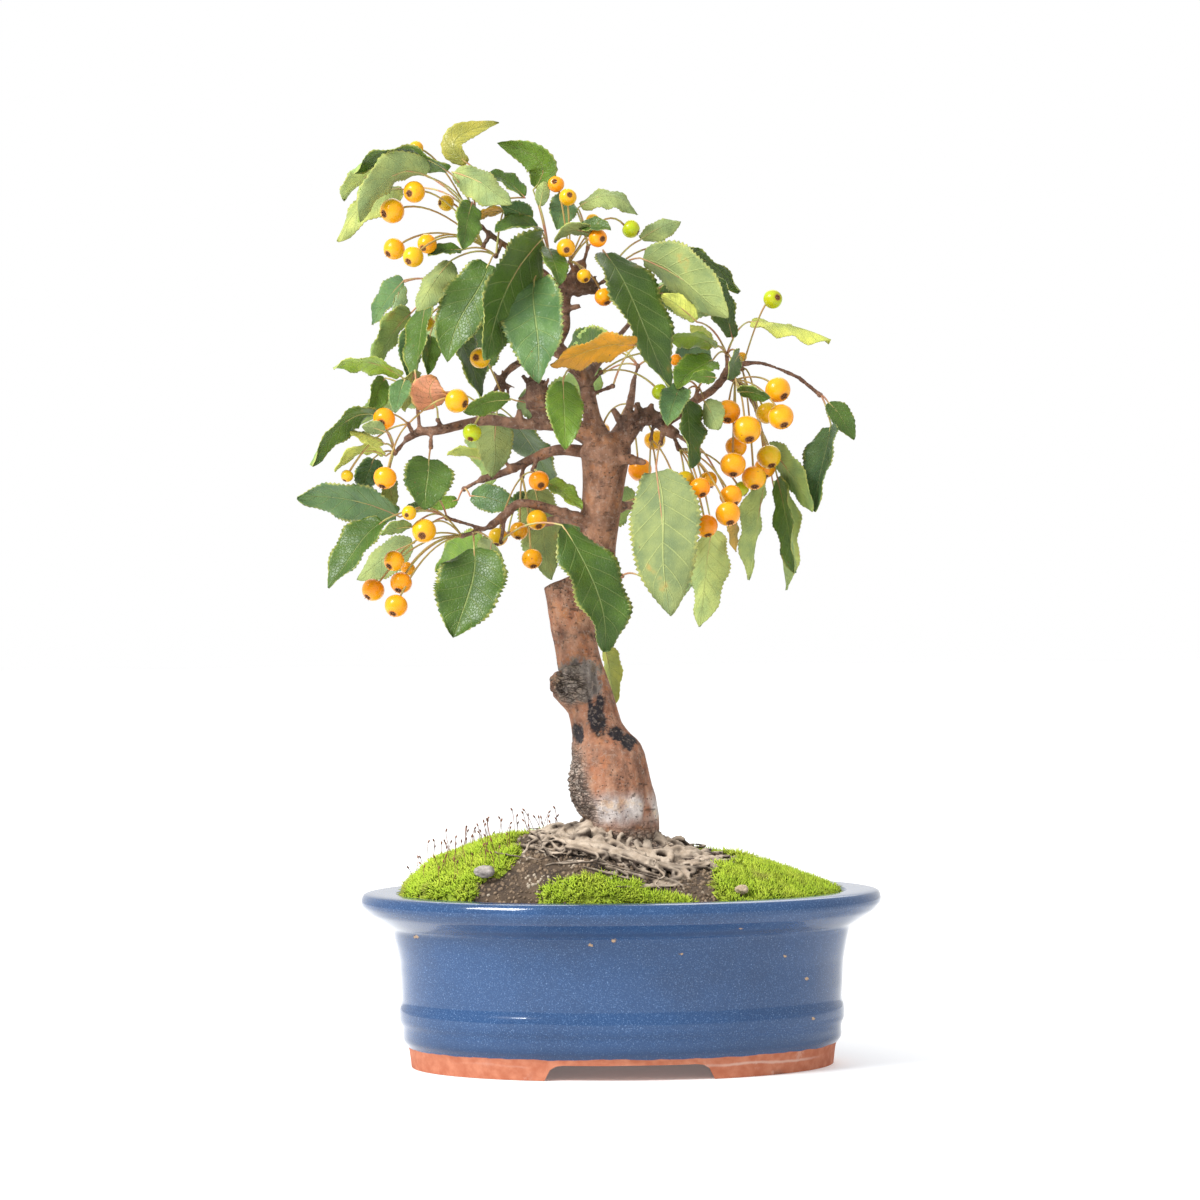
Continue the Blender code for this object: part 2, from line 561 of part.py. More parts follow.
def apple(hub, bend, centre, radius, axis, swell=0.0):
    """One closed fruit on its three-sided stalk, with the calyx standing out at its far end."""
    shape = Shape()
    radius = radius * FRUIT_PLUMP + swell
    neck = centre - axis * radius * FRUIT_NECK
    stalk = PEDICEL_R + swell
    rings = []
    guide = axis.orthogonal()
    for share in (0.0, 0.5, 1.0):
        point = curve(hub, bend, neck, share)
        ahead = axis if share == 1.0 else (curve(hub, bend, neck, share + 0.05) - point).normalized()
        face_up = across(ahead, guide)
        side = ahead.cross(face_up)
        rings.append(shape.add([point + (face_up * math.cos(a) + side * math.sin(a)) * stalk
                                for a in (2 * math.pi * k / 3 for k in range(3))]))
    shape.face(*rings[0])
    bridge(shape, rings[0], rings[1])
    bridge(shape, rings[1], rings[2])
    face_up = across(axis, guide)
    side = axis.cross(face_up)
    rows = []
    for along, wide in FRUIT_RINGS:
        rows.append(shape.add([
            centre + axis * along * radius + (face_up * math.cos(a) + side * math.sin(a)) * wide * radius
            for a in (2 * math.pi * k / 6 for k in range(6))]))
    for k in range(3):
        here, nxt = rings[2][k], rings[2][(k + 1) % 3]
        shape.face(here, rows[0][2 * k], rows[0][2 * k + 1])
        shape.face(here, rows[0][2 * k + 1], nxt)
        shape.face(nxt, rows[0][2 * k + 1], rows[0][(2 * k + 2) % 6])
    bridge(shape, rows[0], rows[1])
    bridge(shape, rows[1], rows[2])
    shape.face(*rows[2])
    return shape


# Keeping the pieces clear of one another.
HUB = "_hub"


class Crowd:
    """Pieces already placed, by node, to test a new one against."""

    def __init__(self):
        self.placed = []

    def add(self, node, shape):
        self.placed.append((node, shape.tree(), shape.box()))

    def hits(self, shape, skipped):
        tree, (low, high) = shape.tree(), shape.box()
        for other, placed, (a, b) in self.placed:
            if other in skipped:
                continue
            if any(high[i] < a[i] or low[i] > b[i] for i in range(3)):
                continue
            if tree.overlap(placed):
                return True
        return False


# Depths tried for a leaf's base and tip, and for a fruit, from the smallest change to the largest.
BASE_SWINGS = (0, -6, 6, -12, 12, -20, 20, -28, 28)
TIP_SWINGS = (0, -7, 7, -14, 14, -22, 22, -32, 32, -42, 42)
SWINGS = sorted(((b, t) for b in BASE_SWINGS for t in TIP_SWINGS),
                key=lambda pair: (abs(pair[0]) * 1.3 + abs(pair[1]), pair))
FRUIT_SHIFTS = (0, -5, 5, -10, 10, -16, 16, -24, 24, -34, 34)
PEDICEL_LIFTS = (0.16, 0.3, 0.02, -0.12)
FRUIT_HANG = 0.55
FRUIT_FACES = 0.35


def teeth_for(length):
    return 4 if length > 58 else 3 if length > 32 else 2


def leaf_plan(hub, row, index, base_swing, tip_swing):
    """What one leaf is made from, with its base and tip moved in depth, or nothing if too long."""
    bx, by, mx, my, tx, ty, seen_wide, base_deep, tip_deep, side = row
    deep_a, deep_b = base_deep + base_swing, tip_deep + tip_swing
    base, tip = seen(bx, by, deep_a), seen(tx, ty, deep_b)
    length = (tip - base).length
    if length > LONGEST_LEAF:
        return None
    if mx:
        middle = seen(mx, my, (deep_a + deep_b) / 2 - 3)
    else:
        middle = (base + tip) / 2 + Vector((0, -0.4, 0.9)) * SAG * length
    shown = seen_wide * MM_PER_PX
    real_wide = min(max(NARROWEST_SHARE * length, shown * 1.04), WIDEST_LEAF)
    turn = math.acos(min(1.0, shown * 1.02 / real_wide)) * (1 if index % 2 else -1)
    roll = turn if side > 0 else math.pi - turn
    fold = math.radians(14 + 5 * (index % 3))
    bend = hub.lerp(base, 0.45) + Vector((0, 0, 0.14 * (base - hub).length))
    return hub, bend, base, middle, tip, real_wide, roll, fold, teeth_for(length)


def place_leaf(crowd, node, hub, row, index):
    """Leaf of the plan, swung in depth until it is clear of the other nodes."""
    for skipped in ((node + HUB,), (node + HUB, node)):
        for base_swing, tip_swing in SWINGS:
            args = leaf_plan(hub, row, index, base_swing, tip_swing)
            if args and not crowd.hits(leaf(*args, swell=CLEAR), skipped):
                return args
    return None


def place_apple(crowd, node, hub, row, index):
    """Fruit of the plan, moved in depth until it is clear of the other nodes."""
    px, py, radius, deep = row
    for skipped in ((node + HUB,), (node + HUB, node)):
        for shift in FRUIT_SHIFTS:
            centre = seen(px, py, deep + shift)
            away = centre - hub
            axis = away.normalized() * 0.7 + Vector((0.15 * math.sin(index * 2.1), -FRUIT_FACES, -FRUIT_HANG))
            axis.normalize()
            for lift in PEDICEL_LIFTS:
                bend = hub.lerp(centre, 0.5) + Vector((0, 0, lift * away.length))
                args = (hub, bend, centre, radius * MM_PER_PX, axis)
                if not crowd.hits(apple(*args, swell=CLEAR), skipped):
                    return args
    return None


# Objects and materials.
def material(name, colour, rough):
    made = bpy.data.materials.get(name)
    if made:
        return made
    made = bpy.data.materials.new(name)
    made.use_nodes = True
    shader = made.node_tree.nodes["Principled BSDF"]
    shader.inputs["Base Color"].default_value = (*colour, 1.0)
    shader.inputs["Roughness"].default_value = rough
    return made


def put(name, mesh, skin):
    piece = bpy.data.objects.new(name, mesh)
    bpy.context.scene.collection.objects.link(piece)
    piece.data.materials.clear()
    piece.data.materials.append(skin)
    return piece


def apply_all(piece):
    """Turn the modified mesh into the piece's own."""
    view = bpy.context.evaluated_depsgraph_get()
    made = bpy.data.meshes.new_from_object(piece.evaluated_get(view))
    piece.modifiers.clear()
    piece.data = made


def fuse(name, shapes, skin):
    """One body from overlapping closed shapes."""
    piece = put(name, shapes[0].mesh(name), skin)
    if len(shapes) > 1:
        group = bpy.data.collections.new(name + "_parts")
        bpy.context.scene.collection.children.link(group)
        others = []
        for i, shape in enumerate(shapes[1:]):
            other = bpy.data.objects.new(f"{name}_{i}", shape.mesh(f"{name}_{i}"))
            group.objects.link(other)
            others.append(other)
        join = piece.modifiers.new("join", "BOOLEAN")
        join.operation, join.solver = "UNION", "MANIFOLD"
        join.operand_type, join.collection = "COLLECTION", group
        apply_all(piece)
        for other in others:
            bpy.data.objects.remove(other)
        bpy.data.collections.remove(group)
    tidy(piece)
    return piece


def tidy(piece):
    """Join flat neighbours again after a cut, and drop any loose scrap."""
    for flat in (FLAT_ANGLE, 0.0):
        work = bmesh.new()
        work.from_mesh(piece.data)
        drop_scrap(work)
        if flat:
            bmesh.ops.dissolve_limit(work, angle_limit=flat, verts=work.verts[:], edges=work.edges[:])
            bmesh.ops.dissolve_degenerate(work, edges=work.edges[:], dist=SHORTEST_EDGE)
        bmesh.ops.triangulate(work, faces=work.faces[:])
        sound = all(len(edge.link_faces) == 2 for edge in work.edges)
        if sound or not flat:
            work.to_mesh(piece.data)
        work.free()
        if sound:
            return


def drop_scrap(work):
    """Keep only the largest body of a mesh."""
    groups, left = [], set(work.faces)
    while left:
        stack = [left.pop()]
        group = set(stack)
        while stack:
            for edge in stack.pop().edges:
                for face in edge.link_faces:
                    if face in left:
                        left.discard(face)
                        group.add(face)
                        stack.append(face)
        groups.append(group)
    groups.sort(key=len, reverse=True)
    scrap = [face for group in groups[1:] for face in group]
    if scrap:
        bmesh.ops.delete(work, geom=scrap, context="FACES")
        bmesh.ops.delete(work, geom=[v for v in work.verts if not v.link_faces], context="VERTS")


def cut(piece, shape):
    """Take one closed shape out of a piece."""
    tool = bpy.data.objects.new("cutter", shape.mesh("cutter"))
    bpy.context.scene.collection.objects.link(tool)
    take = piece.modifiers.new("take", "BOOLEAN")
    take.operation, take.solver, take.object = "DIFFERENCE", "MANIFOLD", tool
    apply_all(piece)
    bpy.data.objects.remove(tool)


# Pot.
def oval(half_x, z, sides, less=POT_SIDE_LESS):
    half_y = half_x - less
    return [Vector((half_x * math.cos(a), half_y * math.sin(a), z))
            for a in (2 * math.pi * k / sides for k in range(sides))]


def build_pot():
    shape = Shape()
    rows = [shape.add(oval(a, z, POT_SIDES)) for a, z in POT_OUTSIDE + POT_INSIDE]
    for low, high in zip(rows, rows[1:]):
        bridge(shape, low, high)
    shape.face(*rows[0])
    shape.face(*rows[-1])
    pot = put("pot", shape.mesh("pot"), material("glazed_clay", (0.08, 0.14, 0.27), 0.2))
    passage = Shape()
    for y in (-130.0, 130.0):
        passage.add([(-FOOT_GAP_LOW, y, -1.0), (FOOT_GAP_LOW, y, -1.0),
                     (FOOT_GAP_TOP, y, FOOT_GAP_HIGH), (-FOOT_GAP_TOP, y, FOOT_GAP_HIGH)])
    bridge(passage, [0, 1, 2, 3], [4, 5, 6, 7])
    passage.face(0, 1, 2, 3)
    passage.face(4, 5, 6, 7)
    cut(pot, passage)
    for side in (-1, 1):
        drain = tube([(Vector((side * DRAIN_X, 0, FOOT_HIGH - 3)), DRAIN_R),
                      (Vector((side * DRAIN_X, 0, POT_FLOOR + 3)), DRAIN_R)], ROUND_SIDES)
        cut(pot, drain)
    tidy(pot)


def build_screens():
    skin = material("screen", (0.02, 0.02, 0.02), 0.6)
    for side, name in ((-1, "drain_screen_left"), (1, "drain_screen_right")):
        top = POT_FLOOR - SCREEN_DROP
        disc = tube([(Vector((side * DRAIN_X, 0, top - SCREEN_THICK)), DRAIN_R - GAP),
                     (Vector((side * DRAIN_X, 0, top)), DRAIN_R - GAP)], ROUND_SIDES)
        put(name, disc.mesh(name), skin)


# Ground.
def ground(x, y):
    """Height of the soil's surface."""
    reach = math.sqrt((x / SOIL_HALF_X) ** 2 + (y / (SOIL_HALF_X - POT_SIDE_LESS)) ** 2)
    keep = max(0.0, 1.0 - reach ** 2)
    share = min(1.0, max(0.0, (x + 22.0) / 52.0))
    share = share * share * (3 - 2 * share)
    rise = MOUND_LEFT * keep ** 0.62 * (1 - share) + MOUND_RIGHT * keep ** 1.05 * share
    ripple = 0.8 * math.sin(x * 0.11 + 1.0) * math.cos(y * 0.13) * min(1.0, keep * 4)
    return SOIL_EDGE_Z + rise + ripple


def ground_point(ring, spoke):
    reach = (ring / GROUND_RINGS) ** 0.9
    turn = 2 * math.pi * spoke / GROUND_SIDES
    x = SOIL_HALF_X * reach * math.cos(turn)
    y = (SOIL_HALF_X - POT_SIDE_LESS) * reach * math.sin(turn)
    return Vector((x, y, ground(x, y)))


def build_soil():
    """Soil that fills the pot, with a plain hole for the trunk's foot."""
    shape = Shape()
    centre = shape.add([(0, 0, ground(0, 0))])[0]
    rows = []
    for ring in range(1, GROUND_RINGS + 1):
        rows.append(shape.add([ground_point(ring, k) for k in range(GROUND_SIDES)]))
    for k in range(GROUND_SIDES):
        shape.face(centre, rows[0][k], rows[0][(k + 1) % GROUND_SIDES])
    for half_x, z in ((SOIL_HALF_X - 0.2, 89.0), (121.2, 40.0), (112.3, POT_FLOOR + GAP)):
        rows.append(shape.add(oval(half_x - 0.6, z, GROUND_SIDES)))
    for low, high in zip(rows, rows[1:]):
        bridge(shape, low, high)
    shape.face(*rows[-1])
    soil = put("soil", shape.mesh("soil"), material("soil", (0.09, 0.06, 0.04), 0.95))
    foot = [(point, radius + GAP) for point, radius in limb_path(TRUNK[:4])]
    foot[0] = (foot[0][0] - Vector((0, 0, GAP)), foot[0][1])
    cut(soil, tube(foot, TRUNK_SIDES))
    tidy(soil)


def moss_start(angle):
    """Innermost ring that moss covers at an angle, or none where the ground is bare."""
    if 15 <= angle <= 165:
        return 3
    if angle < 15 or angle > 318 or angle < 203:
        return 4
    if angle < 236 or angle > 304:
        return 5
    return GROUND_RINGS


def spoke_angle(spoke):
    return 360.0 * (spoke + 0.5) / GROUND_SIDES


def build_moss(name, cells, thick, colour):
    """Cushion over some cells of the ground's own grid, thinner at its edge."""
    cells = set(cells)
    shape = Shape()
    low, high = {}, {}

    def corner(ring, spoke):
        spoke %= GROUND_SIDES
        key = (ring, spoke)
        if key not in low:
            around = [(ring - 1, spoke - 1), (ring - 1, spoke), (ring, spoke - 1), (ring, spoke)]
            full = all((r, s % GROUND_SIDES) in cells for r, s in around)
            at = ground_point(ring, spoke)
            swell = thick * (1.0 + 0.35 * math.sin(ring * 2.1 + spoke * 1.7)) if full else thick * MOSS_EDGE
            low[key] = shape.add([at + Vector((0, 0, GAP))])[0]
            high[key] = shape.add([at + Vector((0, 0, GAP + swell))])[0]
        return key

    for ring, spoke in sorted(cells):
        keys = [corner(ring, spoke), corner(ring + 1, spoke),
                corner(ring + 1, spoke + 1), corner(ring, spoke + 1)]
        shape.face(*[high[k] for k in keys])
        shape.face(*[low[k] for k in reversed(keys)])
        sides = ((keys[0], keys[1], (ring, spoke - 1)), (keys[1], keys[2], (ring + 1, spoke)),
                 (keys[2], keys[3], (ring, spoke + 1)), (keys[3], keys[0], (ring - 1, spoke)))
        for a, b, neighbour in sides:
            if (neighbour[0], neighbour[1] % GROUND_SIDES) not in cells:
                shape.face(low[a], low[b], high[b], high[a])
    put(name, shape.mesh(name), material(name, colour, 0.9))


def build_mosses():
    cells = [(ring, spoke) for spoke in range(GROUND_SIDES)
             for ring in range(moss_start(spoke_angle(spoke)), GROUND_RINGS)]
    build_moss("moss", set(cells) - BARE_CELLS, MOSS_THICK, (0.16, 0.2, 0.05))
    front = [(GROUND_RINGS - 1, spoke) for spoke in range(GROUND_SIDES)
             if FRONT_MOSS[0] <= spoke_angle(spoke) <= FRONT_MOSS[1]]
    build_moss("moss_front", front, MOSS_THICK * 1.5, (0.22, 0.33, 0.05))


def build_pebbles():
    skin = material("pebble", (0.35, 0.3, 0.25), 0.8)
    for i, (name, (px, py, deep, size)) in enumerate(PEBBLES.items()):
        at = seen(px, py, deep)
        around = [(at.x + size * math.cos(a), at.y + size * math.sin(a))
                  for a in (0.8 * k for k in range(8))]
        floor = max(ground(x, y) for x, y in around + [(at.x, at.y)])
        stone = lump(Vector((0, 0, 0)), 1.0)
        squash = Matrix.Diagonal((size, size * 0.8, size * 0.5))
        turn = Matrix.Rotation(0.7 * i, 3, "Z")
        stone.points = [turn @ squash @ p + Vector((at.x, at.y, floor + size * 0.5 + GAP))
                        for p in stone.points]
        put(name, stone.mesh(name), skin)


# Wood.
def limb_path(rows):
    return [(seen(px, py, deep), wide * MM_PER_PX / 2) for px, py, deep, wide in rows]


def spur_path(start, hub):
    """Short twig from the wood to just short of where leaves or stalks meet."""
    a, b = seen(*start), seen(*hub)
    way = (b - a).normalized()
    end = b - way * (HUB_R + GAP)
    return [(a, SPUR_R * 0.75), (end, SPUR_R)]


def root_path(turn, long, thick):
    """Root from inside the trunk's foot, out and down to lie along the ground."""
    cx, cy = TRUNK_FOOT
    path = []
    for share in ROOT_RINGS:
        reach = 14.0 + (long - 6.0) * share
        wobble = math.radians(turn + 9.0 * math.sin(share * 5.0 + turn))
        x, y = cx + reach * math.cos(wobble), cy + reach * math.sin(wobble) * 0.9
        radius = thick * (1.25 - share * 0.95)
        height = ROOT_START * (1 - share) ** 3 + radius + GAP * 1.5
        path.append((Vector((x, y, ground(x, y) + height)), radius))
    return path


def wood_shapes():
    shapes = [tube(limb_path(TRUNK), TRUNK_SIDES)]
    for sides, rows in LIMBS.values():
        shapes.append(tube(limb_path(rows), sides))
    shapes.append(tube(limb_path(KNOT[:2]), 7))
    for px, py, deep, wide in KNOT[2:]:
        shapes.append(lump(seen(px, py, deep), wide * MM_PER_PX / 2, 6))
    for start, hub, _ in list(SPRAYS.values()) + list(BUNCHES.values()) + list(BACK_SPRAYS.values()):
        shapes.append(tube(spur_path(start, hub), 3))
    for turn, long, thick in ROOTS:
        shapes.append(tube(root_path(turn, long, thick), 4))
    return shapes


# Leaves and fruit.
def back_rows(rng, hub, count, crowd):
    """Leaves round the back of the crown, which other leaves hide from the photograph."""
    rows = []
    px0, py0, deep0 = hub
    for _ in range(count * 14):
        if len(rows) >= count:
            break
        turn = rng.uniform(0, 2 * math.pi)
        reach = rng.uniform(24, 46)
        bx, by = px0 + reach * math.cos(turn), py0 + reach * math.sin(turn) * 0.7
        long = rng.uniform(*BACK_LEAF)
        lean = turn + rng.uniform(-0.7, 0.7)
        shown = long * rng.uniform(0.5, 0.85)
        tx = bx + shown / MM_PER_PX * math.cos(lean)
        ty = by + shown / MM_PER_PX * (math.sin(lean) * 0.5 + 0.45)
        base_deep = deep0 + rng.uniform(-4, 16)
        tip_deep = base_deep + math.sqrt(max(0.0, long ** 2 - shown ** 2)) * rng.choice((0.6, 1.0))
        row = (bx, by, 0, 0, tx, ty, rng.uniform(26, 44), base_deep, tip_deep, rng.choice((1, -1, 1)))
        if shows(row, crowd) <= BACK_SHOWS:
            rows.append(row)
    return rows


def shows(row, crowd):
    """Share of a leaf's middle and edges that the photograph would see."""
    bx, by, _, _, tx, ty, wide, base_deep, tip_deep, _ = row
    way = Vector((tx - bx, ty - by)).normalized()
    open_points = total = 0
    for t in (0.1, 0.35, 0.6, 0.85, 1.0):
        for side in (-0.4, 0.0, 0.4):
            off = side * wide * blade_half(min(t, 0.97))
            point = seen(bx + (tx - bx) * t - way.y * off, by + (ty - by) * t + way.x * off,
                         base_deep + (tip_deep - base_deep) * t)
            ray = (EYE - point)
            total += 1
            start = point + ray.normalized() * 6
            if not any(tree.ray_cast(start, ray.normalized())[0] for _, tree, _ in crowd.placed):
                open_points += 1
    return open_points / total


def build_plants():
    crowd = Crowd()
    wood = wood_shapes()
    for shape in wood:
        crowd.add("trunk", shape)
    hubs = list(SPRAYS.items()) + list(BUNCHES.items()) + list(BACK_SPRAYS.items())
    for node, (_, hub, _) in hubs:
        crowd.add(node + HUB, burr(seen(*hub), HUB_R + GAP))
    fruit_skin = material("fruit", (0.75, 0.33, 0.03), 0.3)
    leaf_skin = material("leaf", (0.08, 0.17, 0.04), 0.45)
    for node, (_, hub, rows) in BUNCHES.items():
        at = seen(*hub)
        shapes = [burr(at)] if len(rows) > 1 else []
        for i, row in enumerate(rows):
            args = place_apple(crowd, node, at, row, i)
            if args is None:
                print("no room for fruit", node, i)
                continue
            shapes.append(apple(*args))
            crowd.add(node, shapes[-1])
        fuse(node, shapes, fruit_skin)
    for node, (_, hub, rows) in SPRAYS.items():
        build_spray(crowd, node, hub, rows, leaf_skin)
    rng = random.Random(BACK_SEED)
    for node, (_, hub, count) in BACK_SPRAYS.items():
        build_spray(crowd, node, hub, back_rows(rng, hub, count, crowd), leaf_skin)
    fuse("trunk", wood, material("bark", (0.22, 0.14, 0.09), 0.85))


def build_spray(crowd, node, hub, rows, skin):
    at = seen(*hub)
    shapes = [burr(at)] if len(rows) > 1 else []
    for i, row in enumerate(rows):
        args = place_leaf(crowd, node, at, row, i)
        if args is None:
            print("no room for leaf", node, i)
            continue
        shapes.append(leaf(*args))
        crowd.add(node, shapes[-1])
    if node == "autumn_leaf":
        skin = material("autumn", (0.5, 0.25, 0.06), 0.6)
    if node == "dead_leaf":
        skin = material("dead", (0.2, 0.1, 0.05), 0.8)
    fuse(node, shapes, skin)


def centre_all():
    """Put the origin on the floor under the middle of the whole part's box."""
    points = [v.co for piece in bpy.data.objects for v in piece.data.vertices]
    shift = [-(min(p[i] for p in points) + max(p[i] for p in points)) / 2 for i in (0, 1)]
    for piece in bpy.data.objects:
        piece.data.transform(Matrix.Translation((*shift, 0.0)))
    print("pot's middle is at", [round(s, 5) for s in shift])


def main():
    for old in list(bpy.data.objects):
        bpy.data.objects.remove(old)
    build_pot()
    build_screens()
    build_soil()
    build_mosses()
    build_pebbles()
    build_plants()
    centre_all()


main()
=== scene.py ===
"""Crabapple bonsai in an oval glazed pot: the finished look over the solid model.

Laid out as a Blender add-on with one operator for each group of pieces.  The
plan of twigs, leaves and fruit is in millimetres from the floor under the
pot's middle, and is the same plan that the solid model follows.
"""
import math
import random

import bmesh
import bpy
from bpy.props import FloatProperty, FloatVectorProperty, IntProperty, PointerProperty
from mathutils import Matrix, Vector, noise
from mathutils.bvhtree import BVHTree


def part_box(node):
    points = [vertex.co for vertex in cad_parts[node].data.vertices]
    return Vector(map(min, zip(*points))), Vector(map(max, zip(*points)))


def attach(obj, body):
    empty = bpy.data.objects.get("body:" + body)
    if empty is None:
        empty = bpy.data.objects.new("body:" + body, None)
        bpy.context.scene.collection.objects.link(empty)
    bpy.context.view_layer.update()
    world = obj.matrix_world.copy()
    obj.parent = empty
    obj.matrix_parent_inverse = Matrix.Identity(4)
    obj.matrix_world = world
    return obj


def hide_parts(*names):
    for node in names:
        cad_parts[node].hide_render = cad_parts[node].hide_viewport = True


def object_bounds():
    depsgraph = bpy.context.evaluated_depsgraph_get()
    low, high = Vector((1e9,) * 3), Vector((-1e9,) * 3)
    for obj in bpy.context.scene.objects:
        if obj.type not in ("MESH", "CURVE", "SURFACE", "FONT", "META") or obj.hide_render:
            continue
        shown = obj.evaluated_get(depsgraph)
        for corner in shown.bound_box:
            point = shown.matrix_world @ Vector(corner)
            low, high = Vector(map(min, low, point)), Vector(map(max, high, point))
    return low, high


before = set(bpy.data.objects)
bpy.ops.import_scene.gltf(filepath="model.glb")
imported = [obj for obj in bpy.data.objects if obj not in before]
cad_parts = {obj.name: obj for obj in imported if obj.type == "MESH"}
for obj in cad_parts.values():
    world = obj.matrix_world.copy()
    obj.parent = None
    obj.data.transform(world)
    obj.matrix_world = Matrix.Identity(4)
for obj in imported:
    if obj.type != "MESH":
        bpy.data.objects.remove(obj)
CAD_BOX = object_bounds()
POT_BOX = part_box("pot")

bl_info = {
    "name": "Crabapple bonsai",
    "version": (1, 0, 0),
    "blender": (4, 5, 0),
    "location": "View3D > Sidebar > Bonsai",
    "description": "Builds a crabapple bonsai in an oval glazed pot",
    "category": "Object",
}

MM = 0.001
MIDDLE = Vector(((POT_BOX[0].x + POT_BOX[1].x) / 2, (POT_BOX[0].y + POT_BOX[1].y) / 2, 0.0))

# Scale of the photograph, and where its eye stood, in mm and radians.
MM_PER_PX = 0.576
EYE_AWAY = 2300.0
EYE_SIDE = -11.0
EYE_UP = 267.0
PHOTO_MIDDLE = 600.0
YAW = math.radians(2.5)
ROLL = math.radians(0.45)

# Gap between pieces, and the hub and spur where a spray or bunch starts, in mm.
GAP = 0.4
CLEAR = GAP * 0.8
HUB_R = 2.1
SPUR_R = 1.6

# Leaves: outline of the blade, where its first width lies, and how deep the teeth are cut.
BLADE_THICK = 0.75
BLADE_START = 0.07
BLADE_RISE = 0.62
BLADE_FALL = 0.78
TOOTH_OUT, TOOTH_IN = 1.04, 0.93
WAVE = 0.03
SAG = 0.07
LONGEST_LEAF = 96.0
WIDEST_LEAF = 42.0
NARROWEST_SHARE = 0.5
STALK_R = 0.62
THREE_SIDED = ((0.6, -0.9), (0.6, 0.9), (-1.1, 0.0))

# Fruit: rings of the body as how far along and how wide, for a radius of one.
PEDICEL_R = 0.6
FRUIT_RINGS = ((-0.52, 0.84), (0.42, 0.92), (0.98, 0.3))
FRUIT_NECK = 0.86
FRUIT_PLUMP = 1.04

# Pot: at every height, half its depth is half its width less POT_SIDE_LESS.
POT_SIDE_LESS = 35.3
POT_HIGH = 100.0
POT_BELLY = 129.0
POT_SPOKES = 168
PROFILE_STEP = 1.5
POT_CREASE = math.radians(38)
FOOT_HIGH = 11.5
FOOT_GAP_TOP = 41.5
FOOT_GAP_LOW = 48.0
FOOT_GAP_HIGH = 8.7
POT_FLOOR = 17.0
DRAIN_R = 11.0
DRAIN_X = 52.0
DRAIN_SIDES = 40

# Ground inside the pot.
SOIL_HALF_X = 125.4
SOIL_EDGE_Z = 95.5
MOUND_LEFT = 40.0
MOUND_RIGHT = 29.0
GROUND_SPOKES = 180
SOIL_RINGS = 52
HOLLOW_DEEP = 12.0
HOLLOW_HALF_X, HOLLOW_HALF_Y, HOLLOW_AHEAD = 58, 44, 17
ROOT_SINK = 1.3
MOSS_RINGS = 44
MOSS_INSIDE = 0.36
MOSS_THICK = 3.2
MOSS_LIFT, MOSS_SUNK, MOSS_LEAST = 0.15, 0.6, 0.35
MOSS_SHIFT = Vector((1.3, 2.7, 4.1))
FRONT_PAD = (240, 300)
SPORE_STALKS = 75
SPORE_SIDES = 5

POT_OUTSIDE = [
    (107.0, FOOT_HIGH), (109.5, 0.0), (121.5, 0.0), (123.0, FOOT_HIGH),
    (126.3, 15.5), (126.5, 23.5), (128.5, 26.5), (128.6, 33.5), (126.9, 37.0),
    (128.0, 60.0), (132.0, 79.0), (146.0, 88.4), (150.3, 93.5), (148.6, 99.2),
    (144.0, 100.0),
]
POT_INSIDE = [(130.0, 99.4), (127.0, 95.0), (122.0, 40.0), (113.0, POT_FLOOR)]


def seen(px, py, depth=0.0):
    """Point that the photograph shows at a pixel, at a depth behind the pot's middle."""
    grow = MM_PER_PX * (EYE_AWAY + depth) / EYE_AWAY
    right, up = px - PHOTO_MIDDLE, PHOTO_MIDDLE - py
    x = EYE_SIDE + grow * (right * math.cos(ROLL) + up * math.sin(ROLL))
    z = EYE_UP + grow * (up * math.cos(ROLL) - right * math.sin(ROLL))
    return Vector((x * math.cos(YAW) + depth * math.sin(YAW),
                   depth * math.cos(YAW) - x * math.sin(YAW), z))


EYE = Vector((EYE_SIDE * math.cos(YAW) - EYE_AWAY * math.sin(YAW),
              -EYE_AWAY * math.cos(YAW) - EYE_SIDE * math.sin(YAW), EYE_UP))

